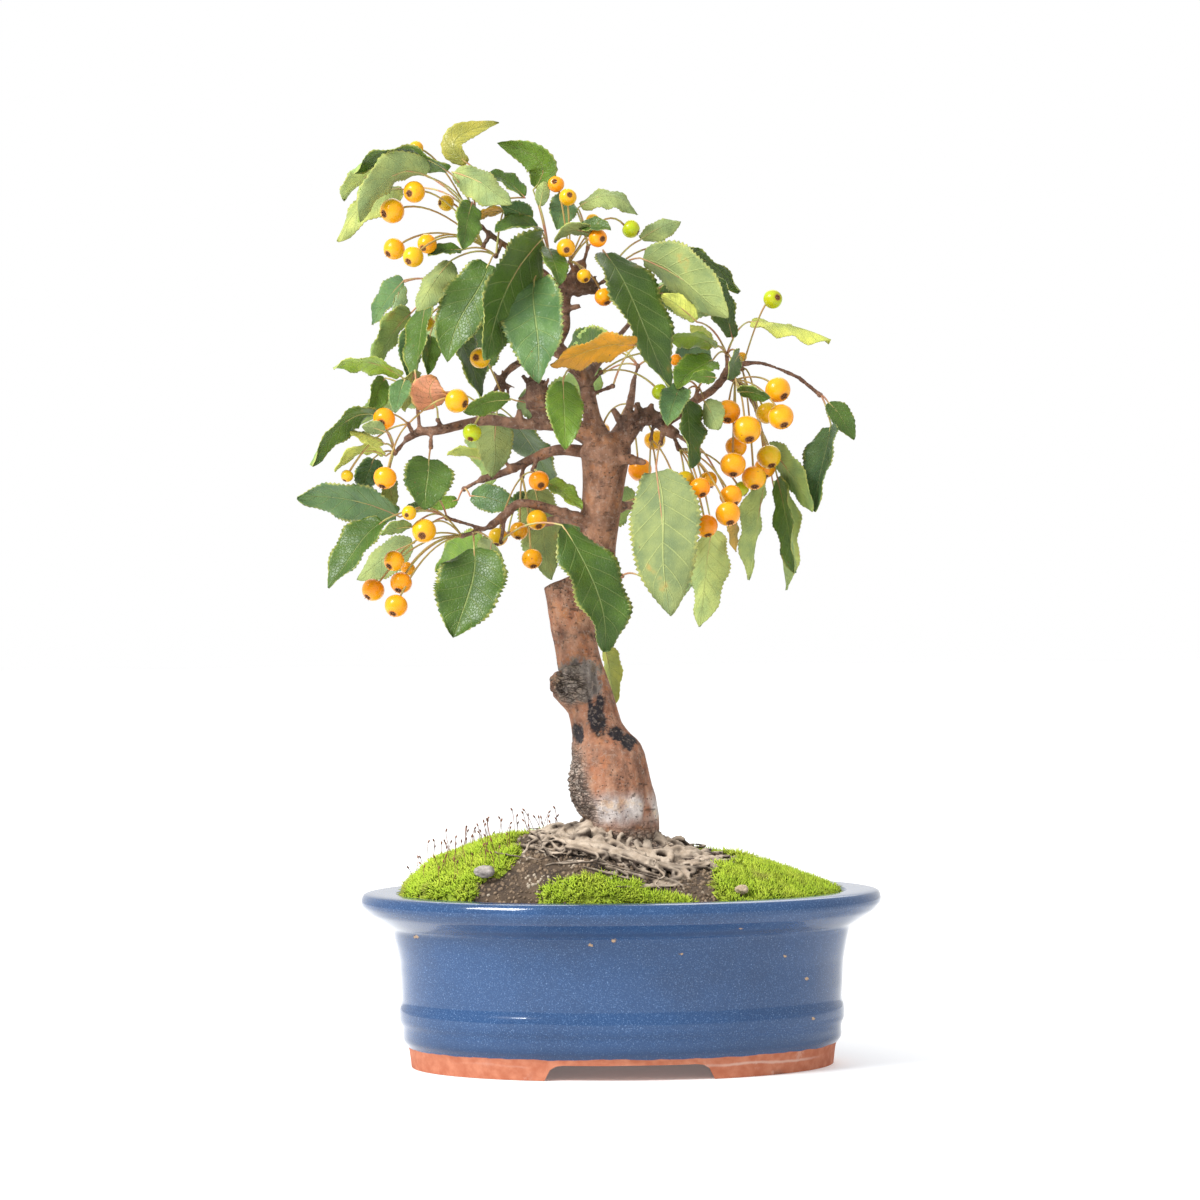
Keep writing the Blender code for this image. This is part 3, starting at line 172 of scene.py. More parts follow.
# Wood: photo pixel across and down, depth in mm, width in pixels.
TRUNK = [
    (630, 866, 0, 46), (629, 848, 0, 58), (626, 828, 0, 68), (620, 808, 0, 75),
    (611, 786, 0, 80), (607, 760, 0, 76), (601, 741, 1, 60), (596, 724, 2, 50),
    (587, 690, 3, 47), (579, 662, 3, 44), (574, 634, 3, 43), (569, 606, 3, 43),
    (559, 581, 3, 34),
]
LIMBS = {
    "upper": (8, [(588, 636, 4, 30), (593, 604, 8, 42), (597, 575, 8, 39), (598, 548, 8, 36),
                  (600, 520, 7, 39), (603, 488, 5, 42), (605, 462, 3, 48), (605, 448, 1, 52),
                  (602, 434, 0, 34)]),
    "leader": (6, [(601, 446, 0, 30), (593, 422, -2, 19), (589, 402, -4, 16),
                   (584, 380, -6, 14), (568, 358, -6, 14), (555, 345, -4, 17),
                   (565, 328, 0, 11), (565, 311, 0, 10), (564, 296, 0, 15)]),
    "branch_a": (5, [(603, 442, -2, 24), (575, 428, -6, 16), (550, 424, -10, 12),
                     (520, 424, -16, 11), (490, 420, -22, 11), (465, 424, -28, 10),
                     (440, 430, -34, 10), (420, 432, -38, 9), (405, 440, -42, 7)]),
    "branch_b": (5, [(598, 454, 6, 14), (557, 450, 14, 11), (520, 465, 22, 9),
                     (505, 472, 26, 8), (480, 480, 32, 7)]),
    "branch_c": (5, [(602, 532, 4, 14), (583, 520, 0, 11), (560, 512, -4, 10),
                     (522, 503, -12, 9), (505, 515, -16, 8), (488, 528, -20, 7)]),
    "branch_d": (6, [(604, 454, 0, 28), (622, 438, -2, 23), (640, 418, -8, 17),
                     (655, 418, -12, 15), (668, 430, -16, 13), (677, 435, -19, 11)]),
    "twig_e": (5, [(662, 424, -14, 11), (680, 413, -4, 10), (693, 402, 4, 9),
                   (710, 392, 12, 8), (722, 380, 18, 8), (727, 370, 22, 8)]),
    "twig_f": (4, [(724, 374, 20, 7), (745, 388, 34, 6), (757, 410, 40, 5)]),
    "twig_g": (4, [(726, 368, 23, 6), (760, 363, 32, 4), (800, 378, 38, 4)]),
    "twig_h": (5, [(564, 300, 0, 11), (545, 275, -8, 8), (522, 256, -14, 7),
                   (502, 243, -20, 6), (488, 233, -24, 6)]),
    "twig_j": (5, [(563, 320, 2, 10), (530, 318, 12, 8), (500, 308, 20, 7), (470, 298, 26, 6)]),
    "twig_k": (5, [(558, 346, -4, 10), (532, 356, -10, 8), (510, 369, -16, 7), (500, 382, -19, 6)]),
    "burr": (5, [(560, 290, 0, 18), (570, 284, 0, 22), (584, 286, 2, 19), (597, 286, 6, 12)]),
    "cut_piece": (5, [(572, 290, -2, 14), (577, 272, -4, 14), (584, 262, -6, 10)]),
    "twig_burr": (5, [(546, 428, -10, 14), (541, 410, -14, 22), (536, 394, -18, 24),
                      (531, 382, -20, 9)]),
    "stub_leader": (4, [(566, 309, 0, 7), (580, 306, -6, 5)]),
    "stub_right": (4, [(616, 458, -4, 13), (634, 460, -14, 9), (646, 463, -18, 5)]),
    "stub_low": (4, [(520, 424, -16, 9), (519, 409, -18, 5)]),
    "stub_d": (4, [(640, 418, -8, 10), (637, 402, -12, 5)]),
    "stub_d_left": (4, [(626, 430, -4, 12), (613, 409, -10, 6)]),
    "stub_d_mid": (4, [(648, 418, -10, 10), (652, 403, -14, 5)]),
    "back_a": (5, [(604, 460, 8, 20), (612, 440, 34, 13), (628, 412, 58, 9), (634, 380, 74, 6)]),
    "back_b": (5, [(600, 446, 6, 18), (565, 428, 34, 12), (522, 424, 58, 9), (490, 414, 74, 6)]),
    "back_c": (4, [(565, 328, 2, 10), (556, 318, 26, 8), (528, 304, 48, 5)]),
    "back_d": (4, [(584, 380, -4, 12), (606, 352, 24, 8), (634, 318, 48, 5)]),
    "back_e": (4, [(601, 512, 10, 14), (624, 506, 34, 10), (652, 506, 54, 6)]),
    "back_f": (4, [(584, 520, 2, 11), (556, 520, 28, 9), (520, 530, 50, 6)]),
}
KNOT = [(578, 690, 0, 50), (560, 682, -4, 30), (566, 668, -16, 24), (580, 696, -17, 26)]

# Sprays of leaves: where the spur leaves the wood, where the leaves meet, then each leaf as
# base, middle (0, 0 where it runs straight), tip, width seen, base depth, tip depth, side seen.
SPRAYS = {
    "leaves_top_left": ((488, 233, -24), (476, 221, -30), [
        (451, 174, 400, 152, 352, 172, 18, -34, -40, 1),
        (428, 177, 392, 176, 358, 222, 30, -32, -60, -1),
        (405, 190, 372, 198, 338, 242, 28, -22, -2, -1),
        (385, 165, 0, 0, 343, 200, 18, -12, 12, -1),
        (470, 165, 456, 140, 499, 123, 22, -30, -22, 1),
        (452, 172, 0, 0, 512, 204, 30, -38, -50, -1),
        (472, 202, 0, 0, 462, 250, 26, -42, -62, 1),
        (525, 198, 0, 0, 490, 172, 14, -14, -6, 1),
    ]),
    "leaves_upper_left": ((502, 243, -20), (496, 256, -26), [
        (503, 212, 0, 0, 473, 217, 10, -14, -18, 1),
        (462, 250, 0, 0, 428, 256, 11, -30, -44, 1),
        (452, 260, 0, 0, 417, 312, 28, -34, -50, -1),
        (490, 262, 0, 0, 447, 362, 50, -38, -50, 1),
    ]),
    "leaves_top": ((562, 288, 0), (550, 263, -8), [
        (545, 236, 506, 290, 487, 360, 52, -24, -70, 1),
        (534, 280, 0, 0, 538, 383, 60, -34, -76, 1),
        (533, 190, 540, 162, 497, 143, 30, -6, -18, 1),
        (540, 207, 0, 0, 545, 181, 14, -14, -18, -1),
        (530, 222, 0, 0, 500, 205, 24, -18, -38, 1),
        (540, 228, 0, 0, 495, 232, 14, -26, -50, 1),
        (548, 248, 0, 0, 560, 285, 22, -22, -46, 1),
    ]),
    "leaves_crown": ((584, 262, -6), (588, 247, -8), [
        (568, 196, 0, 0, 557, 230, 28, -8, -30, 1),
        (578, 208, 610, 196, 637, 215, 18, 2, 6, -1),
        (580, 228, 0, 0, 611, 230, 13, -22, -34, 1),
        (600, 242, 577, 230, 555, 243, 12, -28, -40, -1),
    ]),
    "leaves_top_right": ((596, 286, 6), (606, 280, 12), [
        (603, 250, 0, 0, 668, 388, 44, -6, -44, 1),
        (640, 240, 0, 0, 681, 222, 20, 14, 28, -1),
        (640, 258, 0, 0, 728, 318, 46, 2, -20, -1),
        (668, 246, 708, 262, 740, 292, 18, 28, 42, 1),
    ]),
    "leaves_left_high": ((470, 298, 26), (450, 292, 30), [
        (450, 315, 0, 0, 480, 398, 26, 16, 2, 1),
        (427, 298, 0, 0, 415, 382, 22, 16, 0, 1),
        (430, 335, 0, 0, 428, 375, 18, 30, 22, 1),
        (412, 312, 0, 0, 372, 365, 24, 22, 4, -1),
        (410, 328, 0, 0, 408, 378, 24, 40, 34, 1),
        (405, 280, 0, 0, 372, 325, 20, 36, 56, 1),
        (402, 283, 0, 0, 393, 320, 14, 52, 66, -1),
    ]),
    "leaves_left_mid": ((420, 432, -38), (417, 402, -42), [
        (403, 378, 368, 362, 333, 368, 16, -46, -52, 1),
        (405, 380, 0, 0, 395, 413, 20, -54, -70, 1),
        (385, 378, 0, 0, 370, 415, 20, -38, -50, 1),
        (415, 370, 0, 0, 405, 412, 18, -32, -16, -1),
    ]),
    "leaves_left_end": ((407, 439, -41), (395, 453, -46), [
        (375, 415, 345, 422, 310, 465, 20, -56, -64, 1),
        (385, 432, 0, 0, 362, 427, 14, -64, -80, -1),
        (385, 444, 0, 0, 350, 432, 10, -52, -58, -1),
        (386, 456, 362, 452, 335, 472, 10, -44, -40, -1),
        (374, 458, 0, 0, 363, 492, 26, -36, -18, 1),
        (388, 478, 0, 0, 395, 520, 18, -34, -22, -1),
    ]),
    "leaf_left_dark": ((431, 431, -36), (431, 447, -42), [
        (429, 458, 0, 0, 425, 510, 48, -48, -60, 1),
    ]),
    "leaves_centre_left": ((502, 380, -18), (491, 397, -24), [
        (510, 400, 0, 0, 463, 412, 20, -32, -48, 1),
        (497, 412, 0, 0, 492, 478, 38, -6, 10, -1),
    ]),
    "leaves_inner": ((512, 469, 24), (504, 461, 22), [
        (503, 454, 0, 0, 512, 430, 10, 16, 8, -1),
        (490, 462, 0, 0, 447, 455, 10, 16, 22, -1),
    ]),
    "leaves_back_left": ((482, 479, 31), (464, 489, 38), [
        (470, 496, 0, 0, 517, 510, 28, 30, 8, 1),
        (458, 500, 0, 0, 430, 512, 14, 34, 30, 1),
    ]),
    "leaves_centre": ((538, 458, 17), (533, 470, 14), [
        (545, 482, 0, 0, 582, 510, 16, 6, -8, 1),
        (534, 486, 0, 0, 552, 580, 42, 26, 30, -1),
    ]),
    "leaves_low_left": ((490, 526, -20), (473, 533, -26), [
        (492, 541, 0, 0, 485, 597, 30, -14, 6, -1),
        (474, 546, 470, 590, 453, 638, 66, -40, -62, 1),
    ]),
    "leaf_over_trunk": ((505, 515, -16), (501, 542, -20), [
        (562, 525, 596, 590, 604, 652, 50, -36, -50, 1),
    ]),
    "leaves_low_end": ((484, 529, -21), (447, 518, -32), [
        (400, 517, 352, 500, 297, 497, 36, -38, -30, 1),
        (385, 520, 0, 0, 328, 588, 30, -50, -62, 1),
        (414, 543, 0, 0, 357, 580, 32, -22, -6, -1),
        (412, 527, 0, 0, 381, 535, 12, -56, -68, -1),
        (438, 498, 0, 0, 403, 510, 12, -34, -48, 1),
    ]),
    "leaf_trunk_back": ((592, 640, 6), (604, 632, 30), [
        (605, 646, 0, 0, 615, 704, 18, 32, 24, -1),
    ]),
    "leaf_trunk_right": ((600, 577, 8), (622, 576, 4), [
        (640, 576, 0, 0, 662, 592, 12, -2, -12, -1),
    ]),
    "leaves_right": ((727, 368, 23), (727, 355, 26), [
        (733, 340, 0, 0, 716, 275, 24, 22, 12, 1),
        (697, 322, 0, 0, 660, 296, 18, 10, -6, -1),
        (715, 348, 692, 336, 668, 340, 18, 8, -12, 1),
        (713, 360, 0, 0, 677, 388, 28, 6, -24, 1),
        (712, 344, 0, 0, 690, 325, 14, 32, 46, -1),
        (748, 322, 0, 0, 831, 340, 10, 34, 40, -1),
        (739, 354, 0, 0, 728, 380, 14, 6, -14, 1),
        (738, 392, 0, 0, 770, 398, 14, 0, -20, 1),
    ]),
    "leaves_right_end": ((798, 377, 38), (820, 395, 42), [
        (828, 402, 0, 0, 854, 440, 22, 40, 30, 1),
        (831, 425, 0, 0, 815, 512, 28, 34, 14, 1),
    ]),
    "leaves_right_low": ((756, 408, 40), (762, 434, 46), [
        (768, 446, 0, 0, 812, 512, 24, 36, 18, -1),
        (766, 478, 0, 0, 748, 580, 20, 48, 56, -1),
        (772, 478, 0, 0, 787, 590, 18, 62, 72, -1),
        (777, 476, 0, 0, 796, 573, 18, 34, 28, 1),
    ]),
    "leaves_right_inner": ((694, 401, 4), (698, 389, 4), [
        (684, 395, 0, 0, 693, 468, 22, -14, -34, 1),
        (680, 385, 0, 0, 668, 426, 28, -24, -46, 1),
        (704, 401, 0, 0, 718, 430, 24, -10, -30, -1),
        (716, 378, 0, 0, 690, 380, 14, -14, -30, 1),
    ]),
    "leaves_low_right": ((676, 434, -19), (688, 442, -22), [
        (712, 528, 0, 0, 700, 627, 35, 6, -6, -1),
        (735, 515, 0, 0, 736, 552, 10, 10, 12, -1),
    ]),
    "leaf_low_right_big": ((664, 426, -15), (661, 443, -22), [
        (656, 468, 0, 0, 670, 616, 68, -40, -60, -1),
    ]),
    "leaf_centre": ((584, 381, -6), (570, 370, -22), [
        (563, 380, 0, 0, 565, 450, 36, -32, -48, 1),
    ]),
    "autumn_leaf": ((590, 395, -4), (613, 386, -20), [
        (638, 345, 0, 0, 550, 365, 26, -42, -60, 1),
    ]),
    "dead_leaf": ((444, 430, -33), (438, 420, -38), [
        (437, 408, 430, 392, 437, 378, 38, -44, -42, 1),
    ]),
}

# Bunches of fruit: spur start, where the stalks meet, then each fruit as pixel, radius, depth.
BUNCHES = {
    "fruit_top_left": ((490, 235, -24), (483, 246, -26), [
        (416, 148, 7, -46), (414, 192, 10.5, -48), (392, 211, 12, -44), (394, 249, 10.5, -40),
        (427, 244, 9.5, -46), (413, 257, 10, -60), (446, 203, 8, -22)]),
    "fruit_crown": ((576, 276, -4), (570, 262, -14), [
        (556, 184, 8, -20), (568, 197, 8.5, -26), (593, 221, 7, -10), (598, 238, 9, -26),
        (566, 248, 9, -36), (631, 229, 9, 6), (604, 297, 9, -26), (584, 276, 7, -30)]),
    "fruit_right": ((727, 371, 22), (735, 380, 14), [
        (778, 390, 12.5, 0), (767, 413, 11, 16), (781, 417, 12.5, -8), (728, 412, 12, -4),
        (747, 430, 14, -14), (736, 447, 10.5, 4), (733, 465, 12.5, -12)]),
    "fruit_right_high": ((728, 369, 24), (742, 369, 38), [
        (773, 299, 9.5, 30), (769, 457, 12, 8), (765, 468, 10.5, 26), (754, 478, 12, -2),
        (742, 357, 5, 46)]),
    "fruit_low_right": ((672, 432, -17), (679, 449, -10), [
        (685, 480, 9, -22), (700, 488, 10, -30), (708, 480, 9, -4), (731, 496, 11, -18),
        (741, 489, 8, 8), (728, 514, 12, -34), (706, 526, 11.5, -22)]),
    "fruit_low_right_inner": ((654, 419, -12), (651, 440, -14), [
        (649, 497, 9, -18), (661, 512, 12, -14), (684, 513, 10, -40)]),
    "fruit_middle": ((586, 388, -6), (601, 372, -2), [
        (660, 392, 8, -12), (676, 360, 6, 0)]),
    "fruit_left": ((414, 435, -40), (408, 424, -52), [
        (457, 401, 11.5, -56), (384, 419, 10.5, -70), (385, 478, 11, -62), (347, 476, 6, -56)]),
    "fruit_left_high": ((474, 299, 25), (456, 304, 20), [(425, 323, 9, 8)]),
    "fruit_centre_left": ((504, 376, -18), (503, 398, -22), [
        (480, 358, 10, -34), (472, 433, 9, -42)]),
    "fruit_centre": ((524, 463, 21), (522, 477, 16), [
        (539, 481, 10, -6), (537, 520, 10, -10), (519, 531, 9, 0), (498, 537, 9.5, 8),
        (532, 559, 10, -16)]),
    "fruit_low_left": ((486, 529, -20), (462, 536, -24), [
        (409, 513, 7, -66), (424, 531, 11.5, -62), (394, 561, 10, -50), (408, 569, 7, -26),
        (401, 583, 10.5, -46), (373, 590, 11, -40), (396, 606, 11, -56)]),
    "fruit_back": ((630, 396, 66), (628, 404, 84), [
        (612, 450, 11, 96), (640, 470, 12, 88), (600, 430, 10, 110), (655, 440, 11, 104)]),
}

# Leaves at the back, which the photograph hides: spur start, meeting point, how many leaves.
BACK_SPRAYS = {
    "leaves_back_right": ((634, 380, 74), (638, 366, 82), 4),
    "leaves_back_mid": ((490, 414, 74), (478, 404, 80), 4),
    "leaves_back_top": ((528, 304, 48), (516, 300, 54), 4),
    "leaves_back_high": ((634, 318, 48), (645, 310, 54), 3),
    "leaves_back_low": ((652, 506, 54), (664, 508, 60), 3),
    "leaves_back_low_left": ((520, 530, 50), (508, 534, 56), 3),
}
HUBS = {**SPRAYS, **BUNCHES, **BACK_SPRAYS}
BACK_SEED, SPORE_SEED, KNOB_SEED, ROOT_SEED, FRUIT_SEED = 11, 17, 21, 5, 3
BACK_TRIES = 14
BACK_LEAF = (46.0, 66.0)
BACK_SHOWS = 0.3

# Roots over the ground: heading in degrees, length and thickness in mm.
ROOT_RINGS = (0.0, 0.35, 0.7, 1.0)
TRUNK_SIDES = 10
ROOTS = [
    (200, 44, 3.3), (220, 50, 2.6), (238, 54, 2.9), (254, 60, 2.6), (269, 64, 3.0),
    (285, 56, 2.5), (301, 58, 2.9), (319, 58, 3.0), (343, 56, 3.2), (25, 34, 3.2),
    (90, 30, 3.0), (150, 34, 3.2),
]
TRUNK_FOOT = (5.0, -2.0)
ROOT_START = 9.0
THIN_ROOTS = 66
THIN_ROOT_SIDES, THIN_ROOT_DETAIL = 9, 0.82

# Pebbles: photo pixel across and down, depth and half length in mm.
PEBBLES = {"pebble_left": (485, 886, -66, 7.0), "pebble_right": (742, 891, -67, 5.5)}


# Mesh helpers.
class Shape:
    """Vertices and faces of one closed piece, in millimetres."""

    def __init__(self):
        self.points = []
        self.faces = []

    def add(self, points):
        start = len(self.points)
        self.points.extend(Vector(p) for p in points)
        return list(range(start, start + len(points)))

    def face(self, *corners):
        if len(set(corners)) > 2:
            self.faces.append(tuple(corners))

    def mesh(self, name):
        built = bpy.data.meshes.new(name)
        built.from_pydata([p * MM for p in self.points], [], self.faces)
        facing_out(built, triangles=True)
        built.transform(Matrix.Translation(MIDDLE))
        return built

    def tree(self):
        return BVHTree.FromPolygons(self.points, self.faces)

    def box(self):
        low = Vector(min(p[i] for p in self.points) for i in range(3))
        high = Vector(max(p[i] for p in self.points) for i in range(3))
        return low, high


def clamp(value):
    return min(1.0, max(0.0, value))


def eased(share):
    """A share from 0 to 1 with a soft start and end."""
    return share * share * (3 - 2 * share)


def near_to(value, wanted, reach):
    """1 at the wanted value, falling smoothly to 0 at a distance."""
    return eased(max(0.0, 1.0 - abs(value - wanted) / reach))


def circle(sides):
    """Cosine and sine at even steps round a circle."""
    return [(math.cos(a), math.sin(a)) for a in (2 * math.pi * k / sides for k in range(sides))]


def curve(start, middle, end, t):
    """Point on the parabola that passes through three points."""
    bend = middle * 2.0 - (start + end) * 0.5
    return start * (1 - t) ** 2 + bend * (2 * t * (1 - t)) + end * t ** 2


def across(direction, wanted):
    """Unit vector nearest to the wanted one and square to a direction."""
    flat = wanted - direction * wanted.dot(direction)
    if flat.length < 1e-6:
        flat = direction.orthogonal()
    return flat.normalized()


def bridge(shape, low, high):
    """Join two rings with the same number of corners."""
    for i in range(len(low)):
        j = (i + 1) % len(low)
        shape.face(low[i], low[j], high[j], high[i])


def tube(path, sides):
    """Closed round limb through (point, radius) pairs."""
    shape = Shape()
    rings = []
    up = None
    for i, (point, radius) in enumerate(path):
        ahead = path[min(i + 1, len(path) - 1)][0] - path[max(i - 1, 0)][0]
        ahead.normalize()
        up = across(ahead, up if up else Vector((0.2, 1.0, 0.1)))
        side = ahead.cross(up)
        rings.append(shape.add([point + (up * c + side * s) * radius for c, s in circle(sides)]))
    for low, high in zip(rings, rings[1:]):
        bridge(shape, low, high)
    shape.face(*rings[0])
    shape.face(*rings[-1])
    return shape


def lump(point, radius, sides=6):
    """Small closed ball with few sides."""
    shape = Shape()
    top, low = shape.add([point + Vector((0, 0, radius)), point - Vector((0, 0, radius))])
    rings = []
    for height in (0.5, -0.5):
        wide = radius * math.sqrt(1 - height ** 2)
        rings.append(shape.add([point + Vector((wide * c, wide * s, radius * height))
                                for c, s in circle(sides)]))
    bridge(shape, rings[0], rings[1])
    for k in range(sides):
        shape.face(rings[0][k], rings[0][(k + 1) % sides], top)
        shape.face(rings[1][k], rings[1][(k + 1) % sides], low)
    return shape


def burr(point, radius=HUB_R):
    """Eight-sided knob where the stalks of a spray meet."""
    shape = Shape()
    ways = ((1, 0, 0), (0, 1, 0), (-1, 0, 0), (0, -1, 0))
    sides = shape.add([point + Vector(way) * radius for way in ways])
    ends = shape.add([point + Vector((0, 0, radius)), point - Vector((0, 0, radius))])
    for k in range(4):
        shape.face(sides[k], sides[(k + 1) % 4], ends[0])
        shape.face(sides[k], sides[(k + 1) % 4], ends[1])
    return shape


def blade_shape(t):
    return t ** BLADE_RISE * (1.0 - t) ** BLADE_FALL


BLADE_PEAK = blade_shape(BLADE_RISE / (BLADE_RISE + BLADE_FALL))


def blade_half(t):
    """Half width of a leaf blade along its length, as a share of the widest."""
    return blade_shape(t) / BLADE_PEAK if 0.0 < t < 1.0 else 0.0


def blade_frame(base, middle, tip, roll, t):
    """Point on the midrib with the way that the blade faces there and its side."""
    ahead = (curve(base, middle, tip, min(t + 0.02, 1.0))
             - curve(base, middle, tip, max(t - 0.02, 0.0))).normalized()
    here = curve(base, middle, tip, t)
    facing = Matrix.Rotation(roll, 3, ahead) @ across(ahead, EYE - here)
    return here, facing, ahead.cross(facing)


def stalk_ring(shape, point, face_up, side, radius):
    return shape.add([point + (face_up * u + side * v) * radius for u, v in THREE_SIDED])


def leaf(hub, stalk_bend, base, middle, tip, wide, roll, fold, teeth, swell=0.0):
    """One closed leaf: three-sided stalk running into a folded blade with a toothed edge."""
    shape = Shape()
    lift = BLADE_THICK / 2 + swell
    stalk = STALK_R + swell
    here, facing, side = blade_frame(base, middle, tip, roll, 0.0)
    rings = []
    for share in (0.0, 0.5):
        point = curve(hub, stalk_bend, base, share)
        ahead = (curve(hub, stalk_bend, base, share + 0.05) - point).normalized()
        face_up = across(ahead, facing)
        rings.append(stalk_ring(shape, point, face_up, ahead.cross(face_up), stalk))
    rings.append(stalk_ring(shape, here, facing, side, stalk))
    shape.face(*rings[0])
    bridge(shape, rings[0], rings[1])
    bridge(shape, rings[1], rings[2])

    mids, edges = [], []
    for j in range(2 * teeth):
        t = BLADE_START + (1.0 - BLADE_START) * j / (2 * teeth)
        here, face_up, side = blade_frame(base, middle, tip, roll, t)
        half = wide / 2 * blade_half(t) * (TOOTH_OUT if j % 2 else TOOTH_IN)
        half = max(half, 1.0) + swell
        rise = half * math.tan(fold) + wide * WAVE * math.sin(j * 2.4 + wide)
        row = []
        for sign in (-1, 1):
            edge = here + side * sign * half + face_up * rise
            row.append(shape.add([edge + face_up * lift, edge - face_up * lift]))
        edges.append(row)
        if j % 2 == 0:
            mids.append(shape.add([here + face_up * lift, here - face_up * lift]))
    end, face_up, side = blade_frame(base, middle, tip, roll, 1.0)
    point = shape.add([end + face_up * lift, end - face_up * lift])
    close_base(shape, rings[2], edges[0], mids[0])
    for i in range(teeth):
        last = i == teeth - 1
        for hand in (0, 1):
            close_tooth(shape, mids[i], point if last else mids[i + 1], edges[2 * i][hand],
                        edges[2 * i + 1][hand], point if last else edges[2 * i + 2][hand], last)
    return shape


def close_base(shape, ring, edges, mid):
    """Faces from the stalk's three corners to the first width of the blade."""
    left, right, low = ring
    (left_up, left_low), (right_up, right_low) = edges
    mid_up, mid_low = mid
    for corners in ((left, left_up, mid_up), (left, mid_up, right), (right, mid_up, right_up),
                    (right, right_up, right_low), (right, right_low, low), (low, right_low, mid_low),
                    (low, mid_low, left_low), (low, left_low, left), (left, left_low, left_up)):
        shape.face(*corners)


def close_tooth(shape, mid, mid_next, edge_a, edge_b, edge_c, last):
    """Both faces of one tooth's stretch of blade, and the edge between them."""
    for k in (0, 1):
        shape.face(mid[k], edge_a[k], edge_b[k])
        shape.face(mid[k], edge_b[k], mid_next[k])
        if not last:
            shape.face(mid_next[k], edge_b[k], edge_c[k])
    shape.face(edge_a[0], edge_a[1], edge_b[1], edge_b[0])
    shape.face(edge_b[0], edge_b[1], edge_c[1], edge_c[0])


def apple(hub, bend, centre, radius, axis, swell=0.0):
    """One closed fruit on its three-sided stalk, with the calyx standing out at its far end."""
    shape = Shape()
    radius = radius * FRUIT_PLUMP + swell
    neck = centre - axis * radius * FRUIT_NECK
    stalk = PEDICEL_R + swell
    rings = []
    guide = axis.orthogonal()
    for share in (0.0, 0.5, 1.0):
        point = curve(hub, bend, neck, share)
        ahead = axis if share == 1.0 else (curve(hub, bend, neck, share + 0.05) - point).normalized()
        face_up = across(ahead, guide)
        side = ahead.cross(face_up)
        rings.append(shape.add([point + (face_up * c + side * s) * stalk for c, s in circle(3)]))
    shape.face(*rings[0])
    bridge(shape, rings[0], rings[1])
    bridge(shape, rings[1], rings[2])
    face_up = across(axis, guide)
    side = axis.cross(face_up)
    rows = []
    for along, wide in FRUIT_RINGS:
        rows.append(shape.add([centre + axis * along * radius + (face_up * c + side * s) * wide * radius
                               for c, s in circle(6)]))
    for k in range(3):
        here, nxt = rings[2][k], rings[2][(k + 1) % 3]
        shape.face(here, rows[0][2 * k], rows[0][2 * k + 1])
        shape.face(here, rows[0][2 * k + 1], nxt)
        shape.face(nxt, rows[0][2 * k + 1], rows[0][(2 * k + 2) % 6])
    bridge(shape, rows[0], rows[1])
    bridge(shape, rows[1], rows[2])
    shape.face(*rows[2])
    return shape


# Keeping the pieces clear of one another.
HUB = "_hub"


class Crowd:
    """Pieces already placed, by node, to test a new one against."""

    def __init__(self):
        self.placed = []

    def add(self, node, shape):
        self.placed.append((node, shape.tree(), shape.box()))

    def hits(self, shape, skipped):
        tree, (low, high) = shape.tree(), shape.box()
        for other, placed, (a, b) in self.placed:
            if other in skipped:
                continue
            if any(high[i] < a[i] or low[i] > b[i] for i in range(3)):
                continue
            if tree.overlap(placed):
                return True
        return False


# Depths tried for a leaf's base and tip, and for a fruit, from the smallest change to the largest.
BASE_SWINGS = (0, -6, 6, -12, 12, -20, 20, -28, 28)
TIP_SWINGS = (0, -7, 7, -14, 14, -22, 22, -32, 32, -42, 42)
SWINGS = sorted(((b, t) for b in BASE_SWINGS for t in TIP_SWINGS),
                key=lambda pair: (abs(pair[0]) * 1.3 + abs(pair[1]), pair))
FRUIT_SHIFTS = (0, -5, 5, -10, 10, -16, 16, -24, 24, -34, 34)
PEDICEL_LIFTS = (0.16, 0.3, 0.02, -0.12)
FRUIT_HANG = 0.55
FRUIT_FACES = 0.35


def teeth_for(length):
    return 4 if length > 58 else 3 if length > 32 else 2


def leaf_plan(hub, row, index, base_swing, tip_swing):
    """What one leaf is made from, with its base and tip moved in depth, or nothing if too long."""
    bx, by, mx, my, tx, ty, seen_wide, base_deep, tip_deep, side = row
    deep_a, deep_b = base_deep + base_swing, tip_deep + tip_swing
    base, tip = seen(bx, by, deep_a), seen(tx, ty, deep_b)
    length = (tip - base).length
    if length > LONGEST_LEAF:
        return None
    if mx:
        middle = seen(mx, my, (deep_a + deep_b) / 2 - 3)
    else:
        middle = (base + tip) / 2 + Vector((0, -0.4, 0.9)) * SAG * length
    shown = seen_wide * MM_PER_PX
    real_wide = min(max(NARROWEST_SHARE * length, shown * 1.04), WIDEST_LEAF)
    turn = math.acos(min(1.0, shown * 1.02 / real_wide)) * (1 if index % 2 else -1)
    roll = turn if side > 0 else math.pi - turn
    fold = math.radians(14 + 5 * (index % 3))
    bend = hub.lerp(base, 0.45) + Vector((0, 0, 0.14 * (base - hub).length))
    return hub, bend, base, middle, tip, real_wide, roll, fold, teeth_for(length)


def place_leaf(crowd, node, hub, row, index):
    """Leaf of the plan, swung in depth until it is clear of the other nodes."""
    for skipped in ((node + HUB,), (node + HUB, node)):
        for base_swing, tip_swing in SWINGS:
            args = leaf_plan(hub, row, index, base_swing, tip_swing)
            if args and not crowd.hits(leaf(*args, swell=CLEAR), skipped):
                return args
    return None


